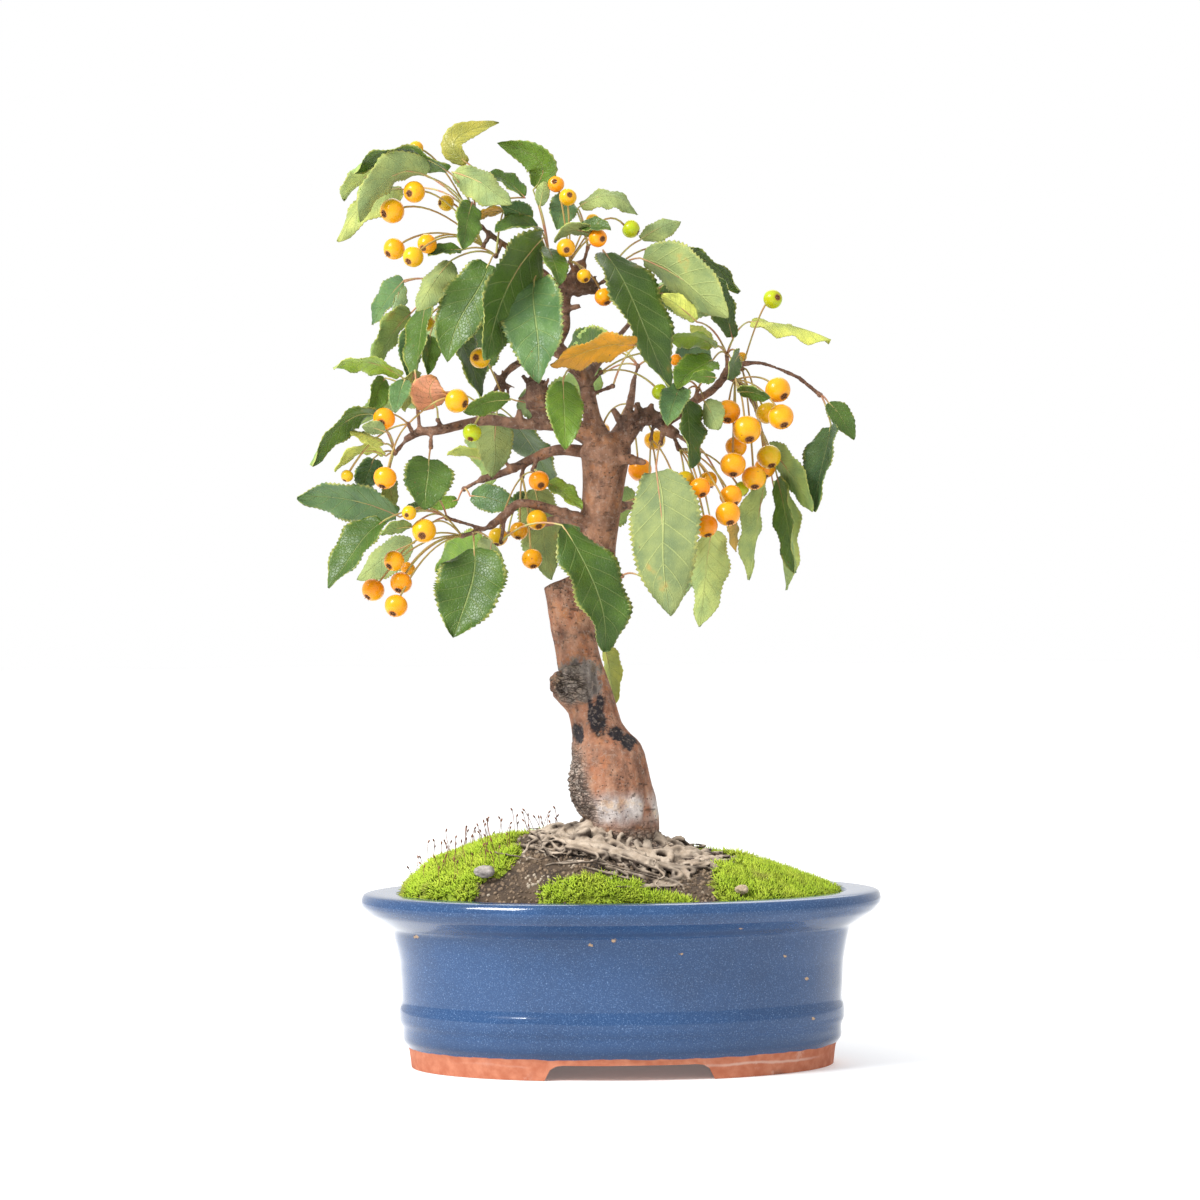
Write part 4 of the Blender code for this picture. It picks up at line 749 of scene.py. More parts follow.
def place_apple(crowd, node, hub, row, index):
    """Fruit of the plan, moved in depth until it is clear of the other nodes."""
    px, py, radius, deep = row
    for skipped in ((node + HUB,), (node + HUB, node)):
        for shift in FRUIT_SHIFTS:
            centre = seen(px, py, deep + shift)
            away = centre - hub
            drop = Vector((0.15 * math.sin(index * 2.1), -FRUIT_FACES, -FRUIT_HANG))
            axis = (away.normalized() * 0.7 + drop).normalized()
            for lift in PEDICEL_LIFTS:
                bend = hub.lerp(centre, 0.5) + Vector((0, 0, lift * away.length))
                args = (hub, bend, centre, radius * MM_PER_PX, axis)
                if not crowd.hits(apple(*args, swell=CLEAR), skipped):
                    return args
    return None


# Ground and wood of the plan.
def oval(half_x, z, sides):
    """Level ring with the pot's outline."""
    return [Vector((half_x * c, (half_x - POT_SIDE_LESS) * s, z)) for c, s in circle(sides)]


def ground(x, y):
    """Height of the soil's surface."""
    reach = math.sqrt((x / SOIL_HALF_X) ** 2 + (y / (SOIL_HALF_X - POT_SIDE_LESS)) ** 2)
    keep = max(0.0, 1.0 - reach ** 2)
    share = eased(clamp((x + 22.0) / 52.0))
    rise = MOUND_LEFT * keep ** 0.62 * (1 - share) + MOUND_RIGHT * keep ** 1.05 * share
    ripple = 0.8 * math.sin(x * 0.11 + 1.0) * math.cos(y * 0.13) * min(1.0, keep * 4)
    return SOIL_EDGE_Z + rise + ripple


def mouth_spot(reach, spoke):
    """Place over the pot's mouth, by the share of the way out and the number of the spoke."""
    turn = 2 * math.pi * spoke / GROUND_SPOKES
    return SOIL_HALF_X * reach * math.cos(turn), (SOIL_HALF_X - POT_SIDE_LESS) * reach * math.sin(turn)


def limb_path(rows):
    return [(seen(px, py, deep), wide * MM_PER_PX / 2) for px, py, deep, wide in rows]


def spur_path(start, hub):
    """Short twig from the wood to just short of where leaves or stalks meet."""
    a, b = seen(*start), seen(*hub)
    way = (b - a).normalized()
    end = b - way * (HUB_R + GAP)
    return [(a, SPUR_R * 0.75), (end, SPUR_R)]


def root_path(turn, long, thick):
    """Root from inside the trunk's foot, out and down to lie along the ground."""
    cx, cy = TRUNK_FOOT
    path = []
    for share in ROOT_RINGS:
        reach = 14.0 + (long - 6.0) * share
        wobble = math.radians(turn + 9.0 * math.sin(share * 5.0 + turn))
        x, y = cx + reach * math.cos(wobble), cy + reach * math.sin(wobble) * 0.9
        radius = thick * (1.25 - share * 0.95)
        height = ROOT_START * (1 - share) ** 3 + radius + GAP * 1.5
        path.append((Vector((x, y, ground(x, y) + height)), radius))
    return path


def wood_shapes():
    """Every limb of the solid trunk."""
    shapes = [tube(limb_path(TRUNK), TRUNK_SIDES)]
    for sides, rows in LIMBS.values():
        shapes.append(tube(limb_path(rows), sides))
    shapes.append(tube(limb_path(KNOT[:2]), 7))
    for px, py, deep, wide in KNOT[2:]:
        shapes.append(lump(seen(px, py, deep), wide * MM_PER_PX / 2, 6))
    for start, hub, _ in HUBS.values():
        shapes.append(tube(spur_path(start, hub), 3))
    for turn, long, thick in ROOTS:
        shapes.append(tube(root_path(turn, long, thick), 4))
    return shapes


def back_rows(rng, hub, count, crowd):
    """Leaves round the back of the crown, which other leaves hide from the photograph."""
    rows = []
    px0, py0, deep0 = hub
    for _ in range(count * BACK_TRIES):
        if len(rows) >= count:
            break
        turn = rng.uniform(0, 2 * math.pi)
        reach = rng.uniform(24, 46)
        bx, by = px0 + reach * math.cos(turn), py0 + reach * math.sin(turn) * 0.7
        long = rng.uniform(*BACK_LEAF)
        lean = turn + rng.uniform(-0.7, 0.7)
        shown = long * rng.uniform(0.5, 0.85)
        tx = bx + shown / MM_PER_PX * math.cos(lean)
        ty = by + shown / MM_PER_PX * (math.sin(lean) * 0.5 + 0.45)
        base_deep = deep0 + rng.uniform(-4, 16)
        tip_deep = base_deep + math.sqrt(max(0.0, long ** 2 - shown ** 2)) * rng.choice((0.6, 1.0))
        row = (bx, by, 0, 0, tx, ty, rng.uniform(26, 44), base_deep, tip_deep, rng.choice((1, -1, 1)))
        if shows(row, crowd) <= BACK_SHOWS:
            rows.append(row)
    return rows


def shows(row, crowd):
    """Share of a leaf's middle and edges that the photograph would see."""
    bx, by, _, _, tx, ty, wide, base_deep, tip_deep, _ = row
    way = Vector((tx - bx, ty - by)).normalized()
    open_points = total = 0
    for t in (0.1, 0.35, 0.6, 0.85, 1.0):
        for side in (-0.4, 0.0, 0.4):
            off = side * wide * blade_half(min(t, 0.97))
            point = seen(bx + (tx - bx) * t - way.y * off, by + (ty - by) * t + way.x * off,
                         base_deep + (tip_deep - base_deep) * t)
            ray = (EYE - point).normalized()
            total += 1
            start = point + ray * 6
            if not any(tree.ray_cast(start, ray)[0] for _, tree, _ in crowd.placed):
                open_points += 1
    return open_points / total


# Colour of each leaf: the upper and lower sides, by a letter for each leaf of a spray.
TONES = {
    "d": ((0.062, 0.126, 0.014), (0.20, 0.29, 0.085)),
    "k": ((0.048, 0.100, 0.012), (0.17, 0.25, 0.085)),
    "b": ((0.074, 0.150, 0.048), (0.23, 0.32, 0.15)),
    "m": ((0.095, 0.176, 0.016), (0.24, 0.34, 0.10)),
    "l": ((0.210, 0.310, 0.036), (0.23, 0.29, 0.105)),
    "p": ((0.270, 0.360, 0.060), (0.35, 0.43, 0.15)),
    "q": ((0.140, 0.200, 0.045), (0.150, 0.190, 0.075)),
    "z": ((0.280, 0.270, 0.045), (0.300, 0.300, 0.080)),
    "y": ((0.430, 0.460, 0.040), (0.46, 0.50, 0.11)),
    "o": ((0.135, 0.170, 0.022), (0.27, 0.31, 0.09)),
    "g": ((0.480, 0.260, 0.030), (0.50, 0.32, 0.08)),
    "a": ((0.560, 0.250, 0.012), (0.54, 0.28, 0.04)),
    "x": ((0.500, 0.200, 0.110), (0.52, 0.26, 0.15)),
}
SPRAY_TONES = {
    "leaves_top_left": "dlopzldd", "leaves_upper_left": "gdlk", "leaves_top": "dbmlbkd",
    "leaves_crown": "blkl", "leaves_top_right": "kllk", "leaves_left_high": "kkdmbbb",
    "leaves_left_mid": "lbmo", "leaves_left_end": "dlyybo", "leaf_left_dark": "k",
    "leaves_centre_left": "ml", "leaves_inner": "yy", "leaves_back_left": "bm",
    "leaves_centre": "ll", "leaves_low_left": "lk", "leaf_over_trunk": "k",
    "leaves_low_end": "bkldb", "leaf_trunk_back": "y", "leaf_trunk_right": "l",
    "leaves_right": "kylmyykk", "leaves_right_end": "kb", "leaves_right_low": "mppd",
    "leaves_right_inner": "kblm", "leaves_low_right": "pg", "leaf_low_right_big": "q",
    "leaf_centre": "m", "autumn_leaf": "a", "dead_leaf": "x",
}
BACK_TONES = "dmbkml"
DRY_LEAVES = ("autumn_leaf", "dead_leaf")


# Settings that a user would change.
def length_setting(name, text, default):
    return FloatProperty(name=name, description=text, default=default, unit="LENGTH", subtype="DISTANCE")


def colour_setting(name, text, default):
    return FloatVectorProperty(name=name, description=text, default=default, size=3,
                               min=0.0, max=1.0, subtype="COLOR")


class BonsaiPotSettings(bpy.types.PropertyGroup):
    glaze: colour_setting("Glaze", "Body colour of the glaze", (0.013, 0.049, 0.136))
    # The deep glaze colour is also used as painted shade under the lip.
    glaze_deep: colour_setting("Deep glaze", "Colour where the glaze lies thick", (0.010, 0.032, 0.088))
    speckle: colour_setting("Speckle", "Pale dots in the glaze", (0.10, 0.19, 0.36))
    clay: colour_setting("Clay", "Unglazed clay of the foot", (0.35, 0.110, 0.058))
    unevenness: length_setting("Unevenness", "How far the hand-finished wall strays", 0.0004)


class BonsaiGroundSettings(bpy.types.PropertyGroup):
    earth: colour_setting("Earth", "Dry top of the soil", (0.100, 0.066, 0.040))
    moss: colour_setting("Moss", "Fresh moss", (0.42, 0.60, 0.018))
    moss_dark: colour_setting("Old moss", "Shaded foot of the moss", (0.17, 0.22, 0.010))
    tufts: IntProperty(name="Tufts", description="Moss shoots for each square metre", default=600000)
    grains: IntProperty(name="Grains", description="Soil grains for each square metre", default=150000)
    tuft_high: length_setting("Tuft height", "Height of a moss shoot", 0.0052)


class BonsaiWoodSettings(bpy.types.PropertyGroup):
    bark: colour_setting("Bark", "Warm bark of the trunk", (0.235, 0.100, 0.055))
    bark_grey: colour_setting("Grey bark", "Weathered bark and roots", (0.300, 0.250, 0.210))
    furrow: colour_setting("Furrows", "Cracks in the bark", (0.045, 0.028, 0.020))
    detail: length_setting("Detail", "Size of the smallest bark form", 0.00100)
    roughness: length_setting("Relief", "Depth of the bark", 0.0009)


class BonsaiLeafSettings(bpy.types.PropertyGroup):
    stalk: colour_setting("Stalk", "Leaf stalk", (0.40, 0.38, 0.12))
    blade: length_setting("Blade thickness", "Thickness of a leaf", 0.0004)
    vein_lift: length_setting("Vein relief", "How far the blade swells between veins", 0.00070)


class BonsaiFruitSettings(bpy.types.PropertyGroup):
    skin: colour_setting("Skin", "Ripe fruit", (0.790, 0.292, 0.004))
    shade: colour_setting("Green side", "Side away from the sun", (0.670, 0.350, 0.008))
    blush: colour_setting("Blush", "Side to the sun", (0.750, 0.195, 0.003))
    calyx: colour_setting("Calyx", "Dry calyx", (0.095, 0.050, 0.025))
    stalk: colour_setting("Stalk", "Fruit stalk", (0.36, 0.20, 0.06))


# Mesh and material helpers.
class Sheet:
    """Corners, faces and corner values that one mesh is made from, in millimetres."""

    def __init__(self):
        self.points, self.faces, self.uv, self.tint, self.under = [], [], [], [], []

    def add(self, point, uv=(0.0, 0.0), tint=(0.5, 0.5, 0.5)):
        self.points.append(point)
        self.uv.append(uv)
        self.tint.append(tint)
        return len(self.points) - 1

    def face(self, *corners):
        self.faces.append(corners)

    def mesh(self, name):
        made = bpy.data.meshes.new(name)
        made.from_pydata([MIDDLE + Vector(p) * MM for p in self.points], [], self.faces)
        layer = made.uv_layers.new(name="UVMap")
        flat = []
        for loop in made.loops:
            flat.extend(self.uv[loop.vertex_index])
        layer.data.foreach_set("uv", flat)
        store_tint(made, self.tint)
        made.shade_smooth()
        return made


def store(mesh, name, values):
    """Keep a number for each corner of a mesh."""
    mesh.attributes.new(name, "FLOAT", "POINT").data.foreach_set("value", values)


def store_tint(mesh, colours):
    """Keep a colour for each corner of a mesh."""
    mesh.attributes.new("tint", "FLOAT_COLOR", "POINT").data.foreach_set(
        "color", [channel for colour in colours for channel in (*colour, 1.0)])


def linked(name, data):
    """New object in the scene."""
    made = bpy.data.objects.new(name, data)
    bpy.context.scene.collection.objects.link(made)
    return made


def place(name, mesh, skin, body="root", nodes=()):
    """Link a finished mesh, give it its material and let it ride on the body."""
    piece = linked(name, mesh)
    mesh.materials.clear()
    mesh.materials.append(skin)
    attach(piece, body)
    if nodes:
        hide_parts(*nodes)


def baked(piece):
    """The piece's mesh with its modifiers applied."""
    view = bpy.context.evaluated_depsgraph_get()
    made = bpy.data.meshes.new_from_object(piece.evaluated_get(view), depsgraph=view)
    piece.modifiers.clear()
    return made


def facing_out(mesh, triangles=False):
    """Turn every face outward, cut into triangles first where that is wanted."""
    work = bmesh.new()
    work.from_mesh(mesh)
    if triangles:
        bmesh.ops.triangulate(work, faces=work.faces[:])
    bmesh.ops.recalc_face_normals(work, faces=work.faces[:])
    work.to_mesh(mesh)
    work.free()


class Value:
    """A shader socket that does sums."""

    def __init__(self, skin, socket):
        self.skin, self.socket = skin, socket

    def sum(self, kind, *others):
        return self.skin.node("ShaderNodeMath", {"operation": kind}, dict(enumerate((self, *others))))

    def __add__(self, other): return self.sum("ADD", other)
    def __sub__(self, other): return self.sum("SUBTRACT", other)
    def __rsub__(self, other): return Value.sum(self.skin.number(other), "SUBTRACT", self)
    def __mul__(self, other): return self.sum("MULTIPLY", other)
    def __pow__(self, other): return self.sum("POWER", other)
    def sine(self): return self.sum("SINE")
    def size(self): return self.sum("ABSOLUTE")
    def larger(self, other): return self.sum("MAXIMUM", other)
    def smaller(self, other): return self.sum("MINIMUM", other)

    __radd__, __rmul__ = __add__, __mul__

    def step(self, low, high):
        """0 below low, 1 above high, and smooth between them."""
        return self.skin.node("ShaderNodeMapRange", {"interpolation_type": "SMOOTHSTEP", "clamp": True},
                              {"Value": self, "From Min": low, "From Max": high})


class Skin:
    """One material and its nodes."""

    def __init__(self, name, roughness=0.6, **sockets):
        self.material = bpy.data.materials.new(name)
        self.material.use_nodes = True
        self.tree = self.material.node_tree
        self.shader = self.tree.nodes["Principled BSDF"]
        self.shader.inputs["Roughness"].default_value = roughness
        for socket, value in sockets.items():
            self.shader.inputs[socket.replace("_", " ")].default_value = value

    def number(self, value):
        made = self.tree.nodes.new("ShaderNodeValue")
        made.outputs[0].default_value = value
        return Value(self, made.outputs[0])

    def node(self, kind, settings=None, values=None, out=0):
        made = self.tree.nodes.new(kind)
        for key, value in (settings or {}).items():
            setattr(made, key, value)
        for key, value in (values or {}).items():
            socket = made.inputs[key]
            if isinstance(value, Value):
                self.tree.links.new(value.socket, socket)
            else:
                if socket.type == "RGBA" and len(value) == 3:
                    value = (*value, 1.0)
                socket.default_value = value
        return Value(self, made.outputs[out])

    def place(self):
        return self.node("ShaderNodeTexCoord", out="Object")

    def stretched(self, scale):
        return self.node("ShaderNodeMapping", {}, {"Vector": self.place(), "Scale": scale})

    def noise(self, scale, detail=3.0, rough=0.5, at=None):
        return self.node("ShaderNodeTexNoise", {}, {"Vector": at or self.place(), "Scale": scale,
                                                    "Detail": detail, "Roughness": rough})

    def cells(self, scale, at=None, feature="F1"):
        return self.node("ShaderNodeTexVoronoi", {"feature": feature},
                         {"Vector": at or self.place(), "Scale": scale})

    def part(self, axis, at=None):
        return self.node("ShaderNodeSeparateXYZ", {}, {0: at or self.place()}, out=axis)

    def mix(self, share, low, high, blend="MIX"):
        return self.node("ShaderNodeMix", {"data_type": "RGBA", "blend_type": blend},
                         {0: share, 6: low, 7: high}, out=2)

    def times(self, colour, other):
        return self.mix(1.0, colour, other, blend="MULTIPLY")

    def stored(self, name, out=2):
        """What the mesh keeps for each corner."""
        return self.node("ShaderNodeAttribute", {"attribute_name": name}, out=out)

    def tint(self):
        return self.stored("tint", 0)

    def uv(self, axis):
        return self.part(axis, self.node("ShaderNodeUVMap", {"uv_map": "UVMap"}))

    def wear(self, colour=None, roughness=None, height=None, depth=0.0002):
        """Join the worked-out colour, roughness and relief to the shader."""
        if colour is not None:
            self.tree.links.new(colour.socket, self.shader.inputs["Base Color"])
        if roughness is not None:
            self.tree.links.new(roughness.socket, self.shader.inputs["Roughness"])
        if height is not None:
            bump = self.node("ShaderNodeBump", {},
                             {"Height": height, "Distance": depth, "Strength": 1.0})
            self.tree.links.new(bump.socket, self.shader.inputs["Normal"])
        return self.material


def glaze_skin(s):
    skin = Skin("blue_glaze", 0.25, Coat_Weight=0.55, Coat_Roughness=0.03, Specular_IOR_Level=0.15)
    fine = skin.noise(1500.0, 2.0, 0.6)
    cloud = skin.noise(24.0, 4.0)
    dots = 1.0 - skin.cells(900.0).step(0.10, 0.34)
    body = skin.mix(cloud.step(0.30, 0.62) * 0.5 + 0.5, s.glaze_deep, s.glaze)
    body = skin.mix(fine.step(0.50, 0.72) * 0.5, body, s.speckle)
    body = skin.mix(dots * fine.step(0.5, 0.62) * 0.5, body, (0.24, 0.36, 0.56))
    height = skin.part("Z")
    # Darker band low on the wall, about 11 to 24 mm up, in the deep glaze colour.
    thick = height.step(0.024, 0.014) * height.step(0.011, 0.0145)
    body = skin.mix(thick * 0.55, body, s.glaze_deep)
    # Painted shade: a dark band in the deep glaze colour just under the lip's flare.
    under_lip_shade = 1.0 - (height - 0.0822).size().step(0.0, 0.0022)
    body = skin.mix(under_lip_shade * 0.6, body, s.glaze_deep)
    across_pot, front = skin.part("X"), skin.part("Y").step(0.0, -0.01)
    ragged = skin.noise(520.0, 3.0, 0.7) * 0.0050
    chip = skin.number(0.0)
    for px, py, wide in CHIPS:
        at = MIDDLE + on_pot(px, py) * MM
        away = ((across_pot - at.x) ** 2.0 + ((height - at.z) * 1.5) ** 2.0) ** 0.5
        chip = chip.larger((away + ragged).step(wide * MM + 0.0027, wide * MM + 0.0021))
    chip = chip * front
    body = skin.mix(chip, body, (0.42, 0.29, 0.19))
    edge = skin.noise(70.0, 4.0) * 0.0026 + skin.noise(9.0, 2.0) * 0.003
    bare = 1.0 - (height - edge).step(0.0088, 0.0092)
    clay_noise = skin.noise(160.0, 5.0, 0.6)
    clay = skin.mix(clay_noise.step(0.3, 0.75), s.clay, (0.46, 0.180, 0.105))
    lime_line = 1.0 - (height - 0.0045 - skin.noise(38.0, 6.0) * 0.006).size().step(0.0, 0.0011)
    lime = lime_line + skin.noise(90.0, 6.0, 0.7).step(0.57, 0.66) * 0.5
    lime = lime * skin.noise(14.0, 2.0).step(0.40, 0.62)
    clay = skin.mix(lime.smaller(1.0) * 0.6, clay, (0.58, 0.42, 0.35))
    grime = skin.noise(55.0, 4.0).step(0.55, 0.75) * (1.0 - height.step(0.0, 0.004))
    clay = skin.mix(grime * 0.6, clay, (0.09, 0.05, 0.04))
    colour = skin.mix(bare, body, clay)
    matt = bare.larger(chip)
    rough = matt * 0.62 + 0.15 + fine * 0.05 * (1.0 - matt)
    relief = skin.noise(26.0, 3.0) * 0.6 * (1.0 - matt) + clay_noise * 0.5 * matt - chip * 0.8
    coat = 0.55 * (1.0 - matt)
    skin.tree.links.new(coat.socket, skin.shader.inputs["Coat Weight"])
    return skin.wear(colour, rough, relief, 0.0004)


# Spots where the glaze is chipped: pixel across and down, and half width in mm.
CHIPS = ((416, 936, 1.3), (590, 945, 1.1), (614, 940, 1.5), (681, 954, 0.8),
         (739, 927, 0.8), (785, 956, 0.9), (807, 979, 1.2), (813, 1019, 1.2))


def on_pot(px, py):
    """Point of the pot's wall that the photograph shows at a pixel."""
    for depth in range(-110, 60):
        point = seen(px, py, depth)
        if math.hypot(point.x / POT_BELLY, point.y / (POT_BELLY - POT_SIDE_LESS)) < 1.0:
            return point
    return seen(px, py)


def earth_skin(s):
    skin = Skin("earth", 0.95)
    grain = skin.noise(700.0, 5.0, 0.7)
    patch = skin.noise(60.0, 4.0)
    colour = skin.mix(patch.step(0.35, 0.65), (0.030, 0.020, 0.014), s.earth)
    colour = skin.mix(grain.step(0.5, 0.8) * 0.5, colour, (0.26, 0.19, 0.12))
    return skin.wear(colour, None, grain, 0.0008)


def grain_skin(s):
    skin = Skin("soil_grains", 0.9)
    lot = skin.cells(180.0)
    tone = skin.noise(140.0, 2.0)
    colour = skin.mix(tone.step(0.35, 0.65), s.earth, (0.22, 0.155, 0.10))
    colour = skin.mix(skin.noise(95.0, 1.0).step(0.60, 0.66), colour, (0.36, 0.30, 0.23))
    return skin.wear(colour, None, lot, 0.0003)


def moss_skin(s, name="moss_shoots"):
    skin = Skin(name, 0.75)
    tint = skin.tint()
    patch = skin.noise(70.0, 3.0)
    fine = skin.noise(900.0, 2.0)
    colour = skin.mix(patch.step(0.35, 0.7), s.moss, (0.56, 0.68, 0.045))
    colour = skin.mix(skin.noise(38.0, 4.0).step(0.56, 0.68) * 0.6, colour, (0.34, 0.27, 0.07))
    colour = skin.mix(fine.step(0.35, 0.75) * 0.5, colour, s.moss_dark)
    # The tint carries painted shade: darker at the feet of the shoots and down the carpet's sides.
    colour = skin.times(colour, tint)
    return skin.wear(colour, None, fine, 0.0004)


def bark_skin(s):
    skin = Skin("bark", 0.8, Specular_IOR_Level=0.3)
    tint = skin.tint()
    mottle = skin.noise(120.0, 6.0, 0.65, at=skin.stretched((1.0, 1.0, 0.7)))
    fine = skin.noise(460.0, 5.0, 0.7)
    ring = skin.noise(330.0, 4.0, 0.6, at=skin.stretched((0.20, 0.20, 1.0)))
    flake = skin.noise(300.0, 4.0, 0.6)
    colour = skin.mix(mottle.step(0.34, 0.66), skin.times(tint, (0.62, 0.58, 0.58)),
                      skin.times(tint, (1.30, 1.26, 1.22)))
    rust = skin.noise(75.0, 4.0, 0.6).step(0.52, 0.60) * skin.noise(240.0, 3.0).step(0.35, 0.6)
    colour = skin.mix(rust * 0.5, colour, skin.times(tint, (1.35, 0.98, 0.55)))
    colour = skin.mix(fine.step(0.52, 0.66) * 0.36, colour, (0.40, 0.31, 0.25))
    colour = skin.mix(flake.step(0.60, 0.70) * 0.42, colour, s.bark_grey)
    colour = skin.mix(flake.step(0.40, 0.30) * 0.75, colour, s.furrow)
    colour = skin.mix(ring.step(0.62, 0.68) * 0.60, colour, s.furrow)
    specks = skin.cells(430.0).step(0.24, 0.14) * skin.noise(60.0, 2.0).step(0.42, 0.56)
    colour = skin.mix(specks * 0.75, colour, s.furrow)
    gnarl = skin.stored("gnarl")
    bent = skin.stretched((0.55, 0.55, 1.35))
    seam = 1.0 - skin.cells(260.0, at=bent, feature="DISTANCE_TO_EDGE").step(0.01, 0.10)
    crack = 1.0 - skin.cells(560.0, at=bent, feature="DISTANCE_TO_EDGE").step(0.0, 0.07)
    seam = seam.larger(crack * 0.7) * gnarl * fine.step(0.30, 0.50)
    colour = skin.mix(gnarl * flake.step(0.46, 0.60) * 0.55, colour, (0.40, 0.34, 0.29))
    colour = skin.mix(seam * 0.8, colour, s.furrow)
    relief = mottle * 0.8 + fine * 0.5 - ring.step(0.6, 0.7) * 0.5 + flake * 0.5 - specks * 0.3 - seam * 1.4
    return skin.wear(colour, 0.66 + flake * 0.25, relief, 0.0014)


def root_skin():
    skin = Skin("root_bark", 0.9)
    tone = skin.noise(130.0, 4.0)
    fine = skin.noise(800.0, 4.0, 0.7)
    tint = skin.tint()
    colour = skin.mix(tone.step(0.3, 0.7), skin.times(tint, (0.62, 0.58, 0.54)), tint)
    colour = skin.mix(fine.step(0.54, 0.78) * 0.5, colour, (0.08, 0.055, 0.04))
    return skin.wear(colour, None, fine, 0.0005)


def spore_skin():
    skin = Skin("spore_stalk", 0.6)
    tone = skin.noise(300.0, 2.0)
    colour = skin.mix(tone.step(0.4, 0.6), (0.22, 0.075, 0.03), (0.10, 0.035, 0.018))
    return skin.wear(colour, None, tone, 0.0001)


def blade_skin(name, dry=0.0):
    skin = Skin(name, 0.42, Specular_IOR_Level=0.36)
    tint = skin.tint()
    under = skin.stored("under")
    across_leaf, along = skin.uv("X"), skin.uv("Y")
    off = (across_leaf - 0.5).size() * 2.0
    rib = 1.0 - off.step(0.010, 0.045)
    lateral = ((along * VEIN_PAIRS - off * VEIN_SWEEP) * (2.0 * math.pi)).sine()
    vein = lateral.step(0.93, 0.998) * (1.0 - off.step(0.7, 1.0)) * along.step(0.04, 0.12)
    net = 1.0 - skin.cells(560.0, feature="DISTANCE_TO_EDGE").step(0.0, 0.12)
    lines = (rib * (under * 0.3 + 0.7)).larger(vein * (under * 0.36 + 0.36))
    lines = lines.larger(net * (under * 0.12 + 0.08))
    cloud = skin.noise(80.0, 4.0)
    colour = skin.mix(cloud.step(0.3, 0.7), skin.times(tint, (0.74, 0.80, 0.80)),
                      skin.times(tint, (1.25, 1.18, 1.0)))
    pale = skin.mix(0.42, colour, (0.52, 0.58, 0.20))
    colour = skin.mix(lines * 0.85, colour, pale)
    rim = off.step(0.86, 0.99) * skin.noise(240.0, 2.0).step(0.35, 0.6)
    colour = skin.mix(rim * 0.6, colour, (0.46, 0.44, 0.11))
    blot = skin.noise(40.0, 4.0, 0.6).step(0.66 - dry * 0.16, 0.76 - dry * 0.16)
    colour = skin.mix(blot * (0.45 + dry * 0.3), colour, (0.42, 0.20, 0.035))
    spots = skin.cells(210.0).step(0.13, 0.06)
    spots = spots * skin.noise(33.0, 2.0).step(0.56 - dry * 0.2, 0.66 - dry * 0.2)
    colour = skin.mix(spots * (0.7 + dry * 0.2), colour, (0.16, 0.075, 0.025))
    relief = (under * 2.0 - 1.0) * (rib + vein * 0.6 + net * 0.25) + skin.noise(500.0, 3.0) * 0.25
    rough = 0.31 + under * 0.28 + skin.noise(190.0, 2.0) * 0.16 + dry * 0.2
    return skin.wear(colour, rough, relief, 0.00050)


def fruit_skin(s):
    skin = Skin("fruit_skin", 0.24, Coat_Weight=0.2, Coat_Roughness=0.10, Specular_IOR_Level=0.2)
    along = skin.uv("Y") + (skin.noise(520.0, 3.0) - 0.5) * 0.06
    tint = skin.tint()
    fine = skin.noise(1300.0, 3.0)
    cloud = skin.noise(120.0, 3.0)
    colour = skin.mix(cloud.step(0.3, 0.7), s.skin, s.shade)
    colour = skin.mix(skin.noise(60.0, 2.0).step(0.5, 0.7) * 0.55, colour, s.blush)
    colour = skin.times(colour, tint)
    colour = skin.mix(along.step(0.13, 0.0) * 0.7, colour, (0.44, 0.30, 0.03))
    dots = skin.cells(620.0).step(0.14, 0.05)
    colour = skin.mix(dots * 0.45, colour, (0.70, 0.42, 0.10))
    scab = skin.cells(230.0).step(0.12, 0.06) * skin.noise(90.0, 2.0).step(0.5, 0.6)
    colour = skin.mix(scab * 0.8, colour, (0.10, 0.045, 0.02))
    ring = along.step(0.942, 0.965)
    colour = skin.mix(ring, colour, s.calyx)
    ring_soft = along.step(0.88, 0.95) * 0.35
    colour = skin.mix(ring_soft, colour, (0.36, 0.13, 0.03))
    rough = 0.22 + ring * 0.6 + fine * 0.1 + scab * 0.3
    return skin.wear(colour, rough, fine * 0.3 + ring * skin.noise(900.0) * 2.0, 0.00012)


def stalk_skin(name, colour_a, colour_b):
    skin = Skin(name, 0.5)
    tone = skin.noise(120.0, 3.0)
    colour = skin.mix(tone.step(0.35, 0.65), colour_a, colour_b)
    return skin.wear(colour, None, skin.noise(700.0, 3.0), 0.0002)


def stone_skin(name, dark, pale):
    skin = Skin(name + "_face", 0.85)
    tone = skin.noise(220.0, 6.0, 0.7)
    colour = skin.mix(tone.step(0.3, 0.7), dark, pale)
    return skin.wear(colour, None, tone, 0.0008)


def mesh_skin():
    skin = Skin("drain_mesh", 0.55)
    weave = (skin.part("X") * 2400.0).sine() * (skin.part("Y") * 2400.0).sine()
    colour = skin.mix(weave.step(-0.2, 0.5), (0.008, 0.008, 0.008), (0.05, 0.05, 0.052))
    return skin.wear(colour, 0.5 + weave * 0.08, weave, 0.0005)


# Node trees.
def tree_with(name, inputs):
    """Empty node tree with geometry in and out, and named inputs."""
    tree = bpy.data.node_groups.new(name, "GeometryNodeTree")
    tree.interface.new_socket("Geometry", in_out="INPUT", socket_type="NodeSocketGeometry")
    for title, kind, default in inputs:
        socket = tree.interface.new_socket(title, in_out="INPUT", socket_type=kind)
        if default is not None:
            socket.default_value = default
    tree.interface.new_socket("Geometry", in_out="OUTPUT", socket_type="NodeSocketGeometry")
    return tree


def grow(tree, kind, settings=None, links=None):
    """New node of a tree, with its settings and what goes into it."""
    made = tree.nodes.new(kind)
    for key, value in (settings or {}).items():
        setattr(made, key, value)
    for key, value in (links or {}).items():
        if isinstance(value, bpy.types.NodeSocket):
            tree.links.new(value, made.inputs[key])
        else:
            made.inputs[key].default_value = value
    return made


